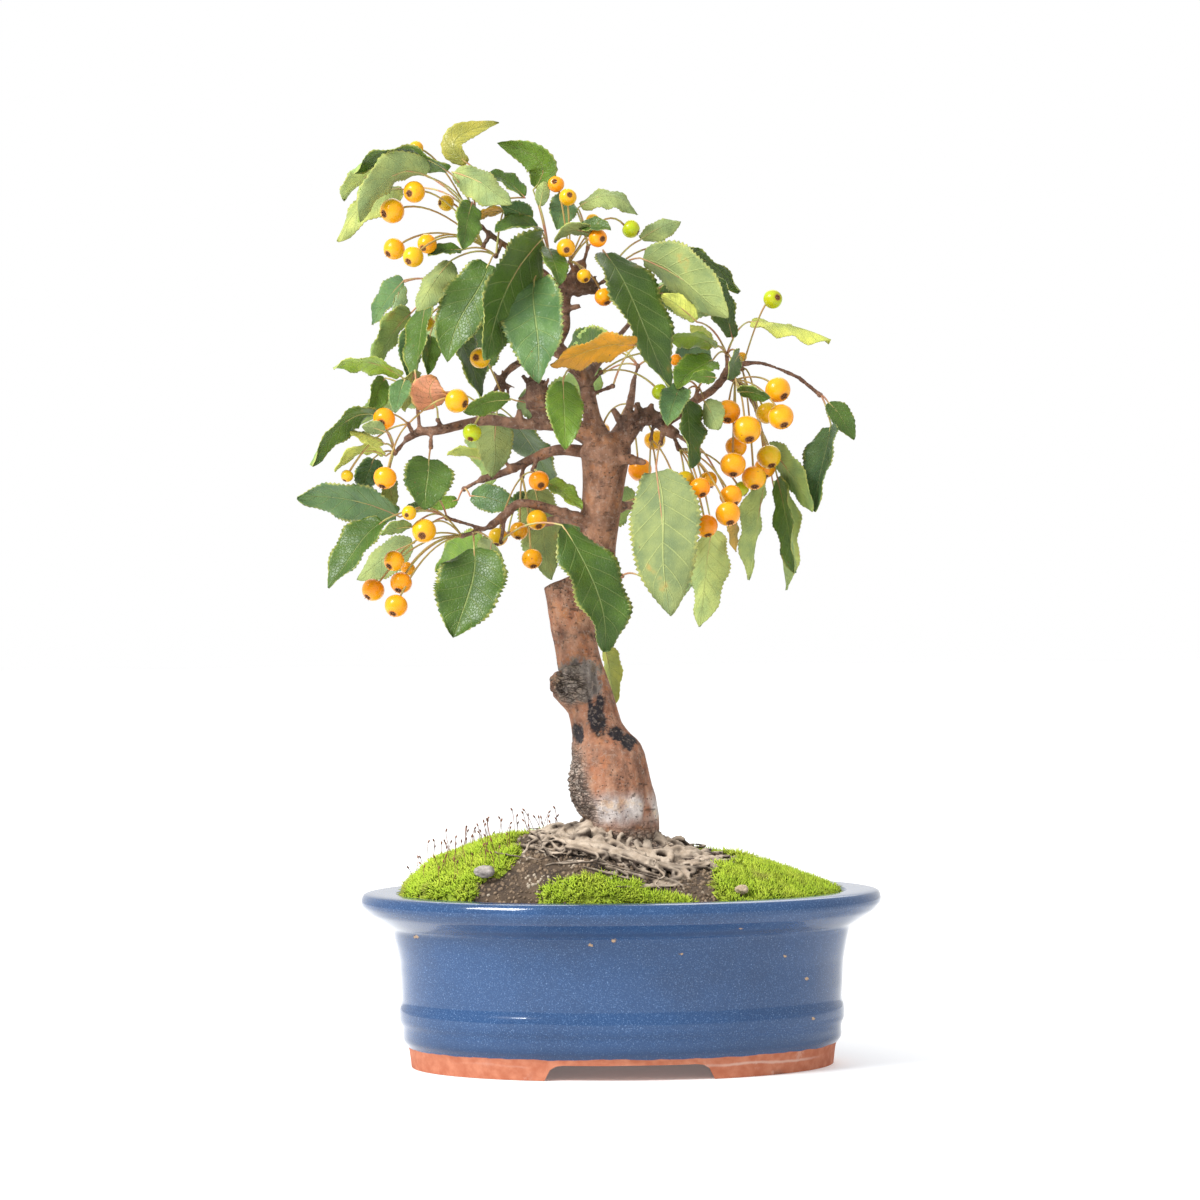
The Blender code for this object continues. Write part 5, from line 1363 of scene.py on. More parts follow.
def skinned(tree, given, last):
    """End of a tree: real faces with their material, shaded smooth."""
    real = grow(tree, "GeometryNodeRealizeInstances", {}, {"Geometry": last.outputs[0]})
    skin = grow(tree, "GeometryNodeSetMaterial", {},
                {"Geometry": real.outputs[0], "Material": given["Material"]})
    smooth = grow(tree, "GeometryNodeSetShadeSmooth", {}, {"Geometry": skin.outputs[0]})
    end = tree.nodes.new("NodeGroupOutput")
    tree.links.new(smooth.outputs[0], end.inputs[0])
    return tree


def scatter_tree():
    """Small pieces stood on a surface, turned and sized by chance."""
    tree = tree_with("scatter", [("Piece", "NodeSocketObject", None), ("Density", "NodeSocketFloat", 1000.0),
                                 ("Smallest", "NodeSocketFloat", 0.6), ("Largest", "NodeSocketFloat", 1.3),
                                 ("Tilt", "NodeSocketFloat", 0.5), ("Seed", "NodeSocketInt", 1),
                                 ("Material", "NodeSocketMaterial", None)])
    given = tree.nodes.new("NodeGroupInput").outputs
    spread = grow(tree, "GeometryNodeDistributePointsOnFaces", {"distribute_method": "RANDOM"},
                  {"Mesh": given["Geometry"], "Density": given["Density"], "Seed": given["Seed"]})
    weight = grow(tree, "GeometryNodeInputNamedAttribute", {"data_type": "FLOAT"}, {"Name": "thick"})
    tree.links.new(grow(tree, "ShaderNodeMath", {"operation": "MULTIPLY"},
                        {0: given["Density"], 1: weight.outputs["Attribute"]}).outputs[0],
                   spread.inputs["Density"])
    info = grow(tree, "GeometryNodeObjectInfo", {}, {"Object": given["Piece"]})
    chance = grow(tree, "FunctionNodeRandomValue", {"data_type": "FLOAT"},
                  {"Min": given["Smallest"], "Max": given["Largest"], "Seed": given["Seed"]})
    size = next(o for o in chance.outputs if o.type == "VALUE" and o.enabled)
    spin = grow(tree, "FunctionNodeRandomValue", {"data_type": "FLOAT_VECTOR"}, {"Seed": given["Seed"]})
    low = grow(tree, "ShaderNodeVectorMath", {"operation": "MULTIPLY"}, {1: (-1.0, -1.0, 0.0)})
    tilt = grow(tree, "ShaderNodeCombineXYZ", {}, {"X": given["Tilt"], "Y": given["Tilt"], "Z": 3.1416})
    tree.links.new(tilt.outputs[0], low.inputs[0])
    tree.links.new(low.outputs[0], spin.inputs["Min"])
    tree.links.new(tilt.outputs[0], spin.inputs["Max"])
    turn = grow(tree, "FunctionNodeRotateEuler", {"rotation_type": "EULER", "space": "LOCAL"},
                {"Rotation": spread.outputs["Rotation"], "Rotate By": spin.outputs["Value"]})
    stand = grow(tree, "GeometryNodeInstanceOnPoints", {},
                 {"Points": spread.outputs["Points"], "Instance": info.outputs["Geometry"],
                  "Rotation": turn.outputs[0], "Scale": size})
    return skinned(tree, given, stand)


def stalk_tree():
    """Round stalks along drawn paths."""
    tree = tree_with("stalks", [("Sides", "NodeSocketInt", 8), ("Material", "NodeSocketMaterial", None)])
    given = tree.nodes.new("NodeGroupInput").outputs
    line = grow(tree, "GeometryNodeMeshToCurve", {}, {"Mesh": given["Geometry"]})
    wide = grow(tree, "GeometryNodeInputNamedAttribute", {"data_type": "FLOAT"}, {"Name": "wide"})
    circle = grow(tree, "GeometryNodeCurvePrimitiveCircle", {"mode": "RADIUS"},
                  {"Resolution": given["Sides"], "Radius": 1.0})
    sized = grow(tree, "GeometryNodeSetCurveRadius", {},
                 {"Curve": line.outputs[0], "Radius": wide.outputs["Attribute"]})
    sweep = grow(tree, "GeometryNodeCurveToMesh", {},
                 {"Curve": sized.outputs[0], "Profile Curve": circle.outputs[0], "Fill Caps": True})
    if "Scale" in sweep.inputs:
        tree.links.new(wide.outputs["Attribute"], sweep.inputs["Scale"])
    return skinned(tree, given, sweep)


def grown(mesh, tree, values):
    """Plain mesh that a node tree makes from a starting mesh."""
    holder = linked("grown", mesh)
    work = holder.modifiers.new("grow", "NODES")
    work.node_group = tree
    for item in tree.interface.items_tree:
        if item.item_type == "SOCKET" and item.in_out == "INPUT" and item.name in values:
            work[item.identifier] = values[item.name]
    made = baked(holder)
    bpy.data.objects.remove(holder)
    return made


def stalks(name, paths, sides, skin):
    """Round stalks along paths of (point, radius) pairs, as one piece."""
    made = grown(path_mesh(paths), stalk_tree(), {"Sides": sides, "Material": skin})
    place(name, made, skin)


def scattered(name, bed, seed_mesh, skin, values):
    """Copies of a small mesh stood on a bed, as one piece."""
    seed = linked("seed", seed_mesh)
    made = grown(bed, scatter_tree(), {"Piece": seed, "Material": skin, **values})
    bpy.data.objects.remove(seed)
    place(name, made, skin)


# Shapes.
def smooth_path(rows, steps):
    """Finer (point, radius) pairs on a smooth curve through the given ones."""
    pairs = [rows[0]] + list(rows) + [rows[-1]]
    made = []
    for i in range(1, len(pairs) - 2):
        for k in range(steps):
            t = k / steps
            (a, ra), (b, rb), (c, rc), (d, rd) = pairs[i - 1:i + 3]
            weights = (-0.5 * t + t * t - 0.5 * t ** 3, 1 - 2.5 * t * t + 1.5 * t ** 3,
                       0.5 * t + 2 * t * t - 1.5 * t ** 3, -0.5 * t * t + 0.5 * t ** 3)
            point = sum((w * p for w, p in zip(weights, (a, b, c, d))), Vector((0, 0, 0)))
            made.append((point, sum(w * r for w, r in zip(weights, (ra, rb, rc, rd)))))
    made.append(rows[-1])
    return made


def knobbly(path, every, swell, seed):
    """Swell a twig at its buds."""
    made, gone = [], 0.0
    for i, (point, radius) in enumerate(path):
        if i:
            gone += (point - path[i - 1][0]).length
        beat = max(0.0, math.sin(gone / every * 2 * math.pi + seed)) ** 4
        made.append((point, radius * (1.0 + swell * beat) + 0.05 * math.sin(gone * 1.7 + seed)))
    return made


BLADE_SPANS = (-1.0, -0.82, -0.6, -0.3, 0.0, 0.3, 0.6, 0.82, 1.0)
TOOTH_EVERY = 2.4
VEIN_PAIRS = 7.5
VEIN_SWEEP = 1.5
FRUIT_TURNS, FRUIT_ROWS, FINE_PLUMP = 22, 15, 1.03
STALK_SIDES = 8


def within(point):
    """The point, brought back to the solid model's box where a ripple would leave it."""
    return Vector(min(max(v, (low - m) / MM), (high - m) / MM)
                  for v, low, high, m in zip(point, *CAD_BOX, MIDDLE))


def fine_leaf(sheet, args, tones, thick, swell):
    """Finished blade over the plan's leaf: folded, puckered between its veins, finely toothed."""
    _, _, base, middle, tip, wide, roll, fold, _ = args
    long = (tip - base).length
    rows = 2 * max(8, min(28, int(long / TOOTH_EVERY)))
    chance = random.Random(int(base.x * 7 + tip.z * 13))
    phase = [chance.uniform(0, 6.28) for _ in range(3)]
    curl, crook = chance.uniform(-0.2, 1.0), chance.uniform(-0.03, 0.03) * long
    ripple = wide * chance.uniform(0.035, 0.075)
    shade = chance.uniform(0.88, 1.12)
    grid = {}
    for skin_side in (0, 1):
        tone = [c * shade for c in tones[skin_side]]
        for j in range(rows + 1):
            t = BLADE_START * 0.5 + (1.0 - BLADE_START * 0.5) * j / rows
            here, face_up, side = blade_frame(base, middle, tip, roll, t)
            here = here + side * crook * math.sin(t * math.pi * 2)
            half = wide / 2 * blade_half(t) if j < rows else 0.12
            half = max(half, 0.9) if j < rows - 1 else half
            for k, span in enumerate(BLADE_SPANS):
                reach = abs(span)
                edge = reach == 1.0
                saw = 1.0 if not edge else 1.05 if j % 2 else 0.96
                wave = ripple * math.sin(t * 17 + phase[0 if span > 0 else 1]) * reach ** 3
                bow = -curl * wide * 0.10 * reach ** 3 * math.sin(t * 3.0 + phase[2] * 0.2)
                pucker = swell * reach * (1.3 - reach) * math.cos(
                    (t * VEIN_PAIRS - reach * VEIN_SWEEP) * 2 * math.pi)
                lift = half * math.tan(fold) * reach ** 1.25 + wave + bow - pucker
                lift += thick / 2 if skin_side == 0 else -thick / 2
                point = within(here + side * span * half * saw + face_up * lift)
                grid[skin_side, j, k] = sheet.add(point, (0.5 + span / 2, t), tone)
                sheet.under.append(float(skin_side))
    close_blade(sheet, grid, rows)


def close_blade(sheet, grid, rows):
    """Upper and lower faces of a blade and the rim between them."""
    last = len(BLADE_SPANS) - 1
    for j in range(rows):
        for k in range(last):
            sheet.face(grid[0, j, k], grid[0, j, k + 1], grid[0, j + 1, k + 1], grid[0, j + 1, k])
            sheet.face(grid[1, j + 1, k], grid[1, j + 1, k + 1], grid[1, j, k + 1], grid[1, j, k])
        sheet.face(grid[0, j, 0], grid[0, j + 1, 0], grid[1, j + 1, 0], grid[1, j, 0])
        sheet.face(grid[1, j, last], grid[1, j + 1, last], grid[0, j + 1, last], grid[0, j, last])
    for k in range(last):
        sheet.face(grid[1, 0, k], grid[1, 0, k + 1], grid[0, 0, k + 1], grid[0, 0, k])
        sheet.face(grid[0, rows, k], grid[0, rows, k + 1], grid[1, rows, k + 1], grid[1, rows, k])


def fine_fruit(sheet, args, warm):
    """Finished fruit with its stalk dimple, calyx basin and dry sepals."""
    centre, radius, axis = args[2:]
    radius *= FINE_PLUMP
    face_up = across(axis, axis.orthogonal())
    side = axis.cross(face_up)
    turns, rows = FRUIT_TURNS, FRUIT_ROWS
    tone = (1.0 + 0.25 * warm, 1.0 - 0.18 * warm, 1.0 - 0.3 * warm)

    def ring_point(angle, spread, along):
        out = face_up * math.cos(angle) + side * math.sin(angle)
        return centre + axis * along * radius + out * spread * radius

    rings = []
    for i in range(rows + 1):
        share = i / rows
        polar = math.pi * (0.045 + 0.89 * share)
        spread = math.sin(polar) * (1.0 + 0.03 * math.sin(polar * 2))
        along = -math.cos(polar) * 0.96
        if share < 0.15:
            along += (0.15 - share) * 1.4
        if share > 0.9:
            along -= (share - 0.9) * 1.2
        ring = []
        for k in range(turns):
            angle = 2 * math.pi * k / turns
            lobe = 1.0 + 0.018 * math.cos(5 * angle) * (share > 0.5) * (share - 0.5) * 2
            ring.append(sheet.add(ring_point(angle, spread * lobe, along), (k / turns, share), tone))
        rings.append(ring)
    for low, high in zip(rings, rings[1:]):
        bridge(sheet, low, high)
    sheet.face(*reversed(rings[0]))
    sheet.face(*rings[-1])
    for k in range(5):
        angle = 2 * math.pi * (k + 0.3) / 5
        root = [sheet.add(ring_point(angle + d, 0.17, 0.84), (0.5, 1.0), tone) for d in (-0.5, 0.5)]
        inner = sheet.add(ring_point(angle, 0.06, 0.86), (0.5, 1.0), tone)
        tip = sheet.add(ring_point(angle + 0.2, 0.36, 1.03), (0.5, 1.0), tone)
        sheet.face(root[0], root[1], tip)
        sheet.face(root[1], inner, tip)
        sheet.face(inner, root[0], tip)
        sheet.face(root[1], root[0], inner)


def path_mesh(paths):
    """Mesh of open lines with a width at each point, for the stalk tree."""
    points, edges, wide = [], [], []
    for path in paths:
        start = len(points)
        for i, (point, radius) in enumerate(path):
            points.append(MIDDLE + point * MM)
            wide.append(radius * MM)
            if i:
                edges.append((start + i - 1, start + i))
    made = bpy.data.meshes.new("paths")
    made.from_pydata(points, edges, [])
    store(made, "wide", wide)
    return made


def plan_plants():
    """Where every leaf and fruit goes, worked out once as the solid model does."""
    crowd = Crowd()
    for shape in wood_shapes():
        crowd.add("trunk", shape)
    for node, (_, hub, _) in HUBS.items():
        crowd.add(node + HUB, burr(seen(*hub), HUB_R + GAP))
    fruit, leaves = {}, {}
    for node, (_, hub, rows) in BUNCHES.items():
        fruit[node] = []
        for i, row in enumerate(rows):
            args = place_apple(crowd, node, seen(*hub), row, i)
            if args:
                fruit[node].append(args)
                crowd.add(node, apple(*args))
    rng = random.Random(BACK_SEED)
    for node, (_, hub, rows) in {**SPRAYS, **BACK_SPRAYS}.items():
        if node in BACK_SPRAYS:
            rows = back_rows(rng, hub, rows, crowd)
        leaves[node] = []
        for i, row in enumerate(rows):
            args = place_leaf(crowd, node, seen(*hub), row, i)
            if args:
                leaves[node].append((i, args))
                crowd.add(node, leaf(*args))
    return fruit, leaves


# Clusters of knobs: pixel across and down, depth, width in pixels, how many, radii in mm.
KNOB_GROUPS = (
    (568, 677, -7, 28, 16, 2.4, 4.6), (576, 692, -8, 28, 14, 2.4, 4.6),
    (542, 412, -12, 18, 16, 1.2, 2.4), (536, 396, -16, 20, 16, 1.2, 2.4),
    (530, 384, -19, 14, 8, 1.2, 2.2), (568, 286, 0, 20, 12, 1.2, 2.4), (584, 287, 2, 18, 10, 1.2, 2.2),
    (640, 418, -9, 24, 14, 1.2, 2.4), (626, 424, -6, 18, 8, 1.2, 2.2),
    (655, 420, -13, 18, 10, 1.2, 2.2), (502, 382, -18, 10, 5, 1.2, 2.0),
)

PLAN = {}


def plan():
    """The plan of the plants, made at its first use and then kept."""
    if not PLAN:
        PLAN["fruit"], PLAN["leaves"] = plan_plants()
    return PLAN


# Operators.
class BONSAI_OT_pot(bpy.types.Operator):
    """Make the glazed pot and dress the drain screens"""
    bl_idname = "bonsai.pot"
    bl_label = "Pot"

    def execute(self, context):
        s = context.scene.bonsai_pot
        profile = fine_profile(POT_OUTSIDE) + fine_profile(POT_INSIDE)
        sheet = Sheet()
        rings = []
        for half_x, z in profile:
            ring = []
            for k, point in enumerate(oval(half_x, z, POT_SPOKES)):
                lumpy = abs(noise.noise(Vector((point.x * 0.02, point.y * 0.02, z * 0.05))))
                stray = -lumpy * s.unevenness / MM
                out = Vector((point.x, point.y, 0)).normalized()
                ring.append(sheet.add(within(point + out * stray * (z > 3)), (k / POT_SPOKES, z / POT_HIGH)))
            rings.append(ring)
        for low, high in zip(rings, rings[1:]):
            bridge(sheet, low, high)
        sheet.face(*reversed(rings[0]))
        sheet.face(*rings[-1])
        mesh = sheet.mesh("pot_glazed")
        facing_out(mesh)
        holder = linked("holder", mesh)
        for cutter in (passage_shape(), drain_shape(-1), drain_shape(1)):
            tool = linked("cutter", cutter.mesh("cutter"))
            take = holder.modifiers.new("take", "BOOLEAN")
            take.operation, take.solver, take.object = "DIFFERENCE", "MANIFOLD", tool
            holder.data = baked(holder)
            bpy.data.objects.remove(tool)
        made = holder.data
        bpy.data.objects.remove(holder)
        made.shade_smooth()
        made.set_sharp_from_angle(angle=POT_CREASE)
        place("pot_glazed", made, glaze_skin(s), nodes=["pot"])
        screen = mesh_skin()
        for name in ("drain_screen_left", "drain_screen_right"):
            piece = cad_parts[name]
            for slot in piece.material_slots:
                slot.material = screen
        return {"FINISHED"}


def passage_shape():
    """What is cut through the foot, from front to back."""
    shape = Shape()
    for y in (-130.0, 130.0):
        shape.add([(-FOOT_GAP_LOW, y, -1.0), (FOOT_GAP_LOW, y, -1.0),
                   (FOOT_GAP_TOP + 3, y, FOOT_GAP_HIGH - 2.6), (FOOT_GAP_TOP - 0.5, y, FOOT_GAP_HIGH - 0.5),
                   (FOOT_GAP_TOP - 4, y, FOOT_GAP_HIGH), (4 - FOOT_GAP_TOP, y, FOOT_GAP_HIGH),
                   (0.5 - FOOT_GAP_TOP, y, FOOT_GAP_HIGH - 0.5), (-FOOT_GAP_TOP - 3, y, FOOT_GAP_HIGH - 2.6)])
    bridge(shape, list(range(8)), list(range(8, 16)))
    shape.face(*range(8))
    shape.face(*range(8, 16))
    return shape


def drain_shape(side):
    """Drain hole through the floor, on one side."""
    return tube([(Vector((side * DRAIN_X, 0, FOOT_HIGH - 3)), DRAIN_R),
                 (Vector((side * DRAIN_X, 0, POT_FLOOR + 3)), DRAIN_R)], DRAIN_SIDES)


def fine_profile(rows):
    """More points round the pot's outline, with soft corners."""
    made = []
    for a, b in zip(rows, rows[1:]):
        steps = max(2, int(math.dist(a, b) / PROFILE_STEP))
        for k in range(steps):
            t = k / steps
            made.append((a[0] + (b[0] - a[0]) * t, a[1] + (b[1] - a[1]) * t))
    made.append(rows[-1])
    soft = [made[0]]
    for before, here, after in zip(made, made[1:], made[2:]):
        if here[1] >= 0.5:
            here = [(b + h * 2 + a) / 4 for b, h, a in zip(before, here, after)]
        soft.append(here)
    return soft + [made[-1]]


def hollow(x, y):
    """Depth of the bare dip in front of the trunk."""
    away = math.hypot((x - TRUNK_FOOT[0]) / HOLLOW_HALF_X,
                      (y - TRUNK_FOOT[1] + HOLLOW_AHEAD) / HOLLOW_HALF_Y)
    return HOLLOW_DEEP * near_to(away, 0.0, 1.0)


def fine_ground(x, y):
    """Soil surface with clods, and a hollow in front of the trunk where its roots lie bare."""
    point = Vector((x, y, 0.0))
    return (ground(x, y) - hollow(x, y) + 0.9 * noise.noise(point * 0.09)
            + 0.7 * noise.noise(point * 0.25) + 0.45 * noise.noise(point * 0.7))


def skirt(sheet, rings):
    """Join rings of the ground, each to the next one out or down."""
    for low, high in zip(rings, rings[1:]):
        for k, (a, b) in enumerate(zip(low, high)):
            nxt = (k + 1) % GROUND_SPOKES
            sheet.face(a, b, high[nxt], low[nxt])


def ground_sheet():
    """The soil's surface, its outermost ring, and how thickly grains lie at each corner."""
    sheet, rings = Sheet(), []
    centre = sheet.add((0.0, 0.0, fine_ground(0.0, 0.0)))
    for i in range(1, SOIL_RINGS + 1):
        spots = [mouth_spot((i / SOIL_RINGS) ** 0.9, k) for k in range(GROUND_SPOKES)]
        rings.append([sheet.add((x, y, fine_ground(x, y))) for x, y in spots])
    for k in range(GROUND_SPOKES):
        sheet.face(centre, rings[0][k], rings[0][(k + 1) % GROUND_SPOKES])
    skirt(sheet, rings)
    return sheet, rings[-1], [max(0.06, 1.0 - moss_share(x, y)) for x, y, _ in sheet.points]


# How far in the moss reaches: angle in degrees, then the share of the way out where it starts.
MOSS_STARTS = ((0, 0.52), (20, 0.40), (160, 0.40), (182, 0.48), (205, 0.56), (225, 0.64),
               (233, 1.1), (246, 1.0), (251, 0.85), (285, 0.85), (289, 1.1), (294, 1.05),
               (300, 0.78), (318, 0.58), (360, 0.52))


def oval_place(x, y):
    """How far out a spot lies, from 0 to 1, and its angle in degrees."""
    across_pot, deep = x / SOIL_HALF_X, y / (SOIL_HALF_X - POT_SIDE_LESS)
    return math.hypot(across_pot, deep), math.degrees(math.atan2(deep, across_pot)) % 360


def moss_share(x, y):
    """How thickly moss covers a spot, from 0 to 1."""
    reach, turn = oval_place(x, y)
    for (before, low), (after, high) in zip(MOSS_STARTS, MOSS_STARTS[1:]):
        if before <= turn <= after:
            start = low + (high - low) * (turn - before) / (after - before)
    spot = Vector((x, y, 0.0))
    ragged = 0.09 * noise.noise(spot * 0.06 + MOSS_SHIFT) + 0.07 * noise.noise(spot * 0.22 - MOSS_SHIFT)
    share = (reach - start + ragged) / 0.06
    if noise.noise(spot * 0.075 + MOSS_SHIFT * 2) > 0.30 and not 240 < turn < 292:
        share -= 1.2
    for stone in PEBBLES.values():
        at = seen(*stone[:3])
        if math.hypot(x - at.x, (y - at.y) * 1.2) < stone[3] * 1.05:
            share = 0.0
    return clamp(share) * clamp((1.004 - reach) / 0.012)


def cushion(x, y):
    """Height of the moss over the soil."""
    lumps = 0.55 + 0.45 * noise.noise(Vector((x * 0.07, y * 0.07, 5.0))) + 0.25 * noise.noise(
        Vector((x * 0.2, y * 0.2, 9.0)))
    return moss_share(x, y) * MOSS_THICK * max(0.2, lumps)


def moss_sheet(in_front):
    """Closed carpet of the moss, of the front pad or of the rest, and its cover at each corner."""
    sheet, weights, corner, cells = Sheet(), [], {}, {}

    def spot(i, k):
        """Upper and lower corner at a ring and a spoke, and how thickly moss covers it."""
        key = (i, k % GROUND_SPOKES)
        if key not in corner:
            x, y = mouth_spot(MOSS_INSIDE + (1.0 - MOSS_INSIDE) * i / MOSS_RINGS, k)
            share, z = moss_share(x, y), fine_ground(x, y)
            top = z + cushion(x, y) + MOSS_LIFT
            # Painted shade: the carpet's top is dimmed under the shoots, and its sides darken to their sunk
            # foot.
            corner[key] = (sheet.add((x, y, top), tint=(0.55, 0.55, 0.55)),
                           sheet.add((x, y, z - MOSS_SUNK), tint=(0.3, 0.3, 0.3)), share)
            weights.extend((share, 0.0))
        return corner[key]

    for i in range(MOSS_RINGS):
        for k in range(GROUND_SPOKES):
            turn = 360.0 * (k + 0.5) / GROUND_SPOKES
            if (FRONT_PAD[0] < turn < FRONT_PAD[1]) == in_front:
                four = [spot(i, k), spot(i + 1, k), spot(i + 1, k + 1), spot(i, k + 1)]
                if sum(c[2] for c in four) > MOSS_LEAST:
                    cells[i, k] = four
    for (i, k), four in cells.items():
        sheet.face(*[c[0] for c in four])
        sheet.face(*[c[1] for c in reversed(four)])
        for a, b, beyond in ((0, 1, (i, (k - 1) % GROUND_SPOKES)), (1, 2, (i + 1, k)),
                             (2, 3, (i, (k + 1) % GROUND_SPOKES)), (3, 0, (i - 1, k))):
            if beyond not in cells:
                sheet.face(four[b][0], four[a][0], four[a][1], four[b][1])
    return sheet, weights


class BONSAI_OT_ground(bpy.types.Operator):
    """Make the soil with its grains, the moss with its shoots, and the pebbles"""
    bl_idname = "bonsai.ground"
    bl_label = "Ground"

    def execute(self, context):
        s = context.scene.bonsai_ground
        self.soil(s)
        self.moss(s)
        self.spores()
        self.pebbles()
        return {"FINISHED"}

    def soil(self, s):
        sheet, rim, weights = ground_sheet()
        bed = sheet.mesh("grain_bed")
        store(bed, "thick", weights)
        below = [rim]
        for half_x, z in ((SOIL_HALF_X - 0.8, 89.0), (120.6, 40.0), (111.7, POT_FLOOR + GAP)):
            below.append([sheet.add(p) for p in oval(half_x, z, GROUND_SPOKES)])
        skirt(sheet, below)
        sheet.face(*reversed(below[-1]))
        mesh = sheet.mesh("soil_body")
        facing_out(mesh)
        place("soil_body", mesh, earth_skin(s), nodes=["soil"])
        scattered("soil_grains", bed, self.grain_mesh(), grain_skin(s),
                  {"Density": float(s.grains), "Smallest": 0.35, "Largest": 1.5, "Tilt": 1.5, "Seed": 4})

    def grain_mesh(self):
        work = bmesh.new()
        bmesh.ops.create_icosphere(work, subdivisions=1, radius=0.0011)
        for corner in work.verts:
            corner.co *= 1.0 + 0.3 * noise.noise(corner.co * 900)
            corner.co.z *= 0.75
        mesh = bpy.data.meshes.new("grain")
        work.to_mesh(mesh)
        work.free()
        return mesh

    def tuft_mesh(self, high):
        """Moss shoot: a leaning stem with small leaves, three-sided and few-faced."""
        mesh = bpy.data.meshes.new("tuft")
        points, faces, tints = [], [], []
        for k in range(3):
            turn = 2 * math.pi * k / 3 + 0.4
            lean = 0.25 if k == 0 else 0.9
            tall = high * (1.0 if k == 0 else 0.7)
            root = Vector((0, 0, high * 0.1 * k))
            way = Vector((math.cos(turn) * lean, math.sin(turn) * lean, 1.0)).normalized()
            side = way.orthogonal().normalized() * high * 0.13
            back = way.cross(side).normalized() * high * 0.10
            start = len(points)
            points += [root + side, root - side, root + back, root + way * tall]
            # Painted shade and light: each shoot is dark at its foot and bright at its tip.
            tints += [0.35, 0.35, 0.35, 1.25]
            faces += [(start, start + 1, start + 3), (start + 1, start + 2, start + 3),
                      (start + 2, start, start + 3), (start, start + 2, start + 1)]
        mesh.from_pydata(points, [], faces)
        facing_out(mesh)
        store_tint(mesh, [(t, t, t) for t in tints])
        return mesh

    def moss(self, s):
        for name, nodes, in_front in (("moss_carpet", ["moss"], False),
                                      ("moss_cushion", ["moss_front"], True)):
            sheet, weights = moss_sheet(in_front)
            mesh = sheet.mesh(name)
            store(mesh, "thick", weights)
            bed = mesh.copy()
            skin = moss_skin(s, name + "_green")
            place(name, mesh, skin, nodes=nodes)
            scattered(name + "_shoots", bed, self.tuft_mesh(s.tuft_high), skin,
                      {"Density": float(s.tufts), "Smallest": 0.45, "Largest": 1.1, "Tilt": 0.45, "Seed": 9})

    def spores(self):
        """Spore stalks that stand over the moss on the left."""
        rng = random.Random(SPORE_SEED)
        paths = []
        while len(paths) < SPORE_STALKS:
            x, y = rng.uniform(-122, -30), rng.uniform(-80, 70)
            if oval_place(x, y)[0] > 0.97 or moss_share(x, y) < 0.5:
                continue
            foot = Vector((x, y, fine_ground(x, y) + cushion(x, y)))
            high = rng.uniform(7, 17)
            lean = Vector((rng.uniform(-0.35, 0.3), rng.uniform(-0.3, 0.3), 1.0))
            nod = Vector((rng.uniform(-1, 1), rng.uniform(-1, 1), 0)) * 1.6
            line = [(foot + lean * high * k / 5 + nod * (k / 5) ** 3, 0.17) for k in range(6)]
            end, way = line[-1][0], (nod * 0.5 + lean).normalized()
            line += [(end + way * reach, wide)
                     for reach, wide in ((0.3, 0.42), (1.0, 0.55), (1.7, 0.40), (2.2, 0.12))]
            paths.append(line)
        stalks("moss_spore_stalks", paths, SPORE_SIDES, spore_skin())

    def pebbles(self):
        for name, dark, pale in (("pebble_left", (0.16, 0.14, 0.13), (0.42, 0.38, 0.35)),
                                 ("pebble_right", (0.26, 0.19, 0.12), (0.60, 0.48, 0.34))):
            low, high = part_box(name)
            work = bmesh.new()
            bmesh.ops.create_icosphere(work, subdivisions=4, radius=1.0)
            half = (high - low) / 2
            centre = (high + low) / 2
            for corner in work.verts:
                bump = 1.0 + 0.16 * noise.noise(corner.co * 1.6) + 0.07 * noise.noise(corner.co * 5)
                way = corner.co * bump
                corner.co = centre + Vector((way.x * half.x, way.y * half.y, way.z * half.z)) * 0.98
            mesh = bpy.data.meshes.new(name + "_stone")
            work.to_mesh(mesh)
            work.free()
            mesh.shade_smooth()
            place(name + "_stone", mesh, stone_skin(name, dark, pale), nodes=[name])


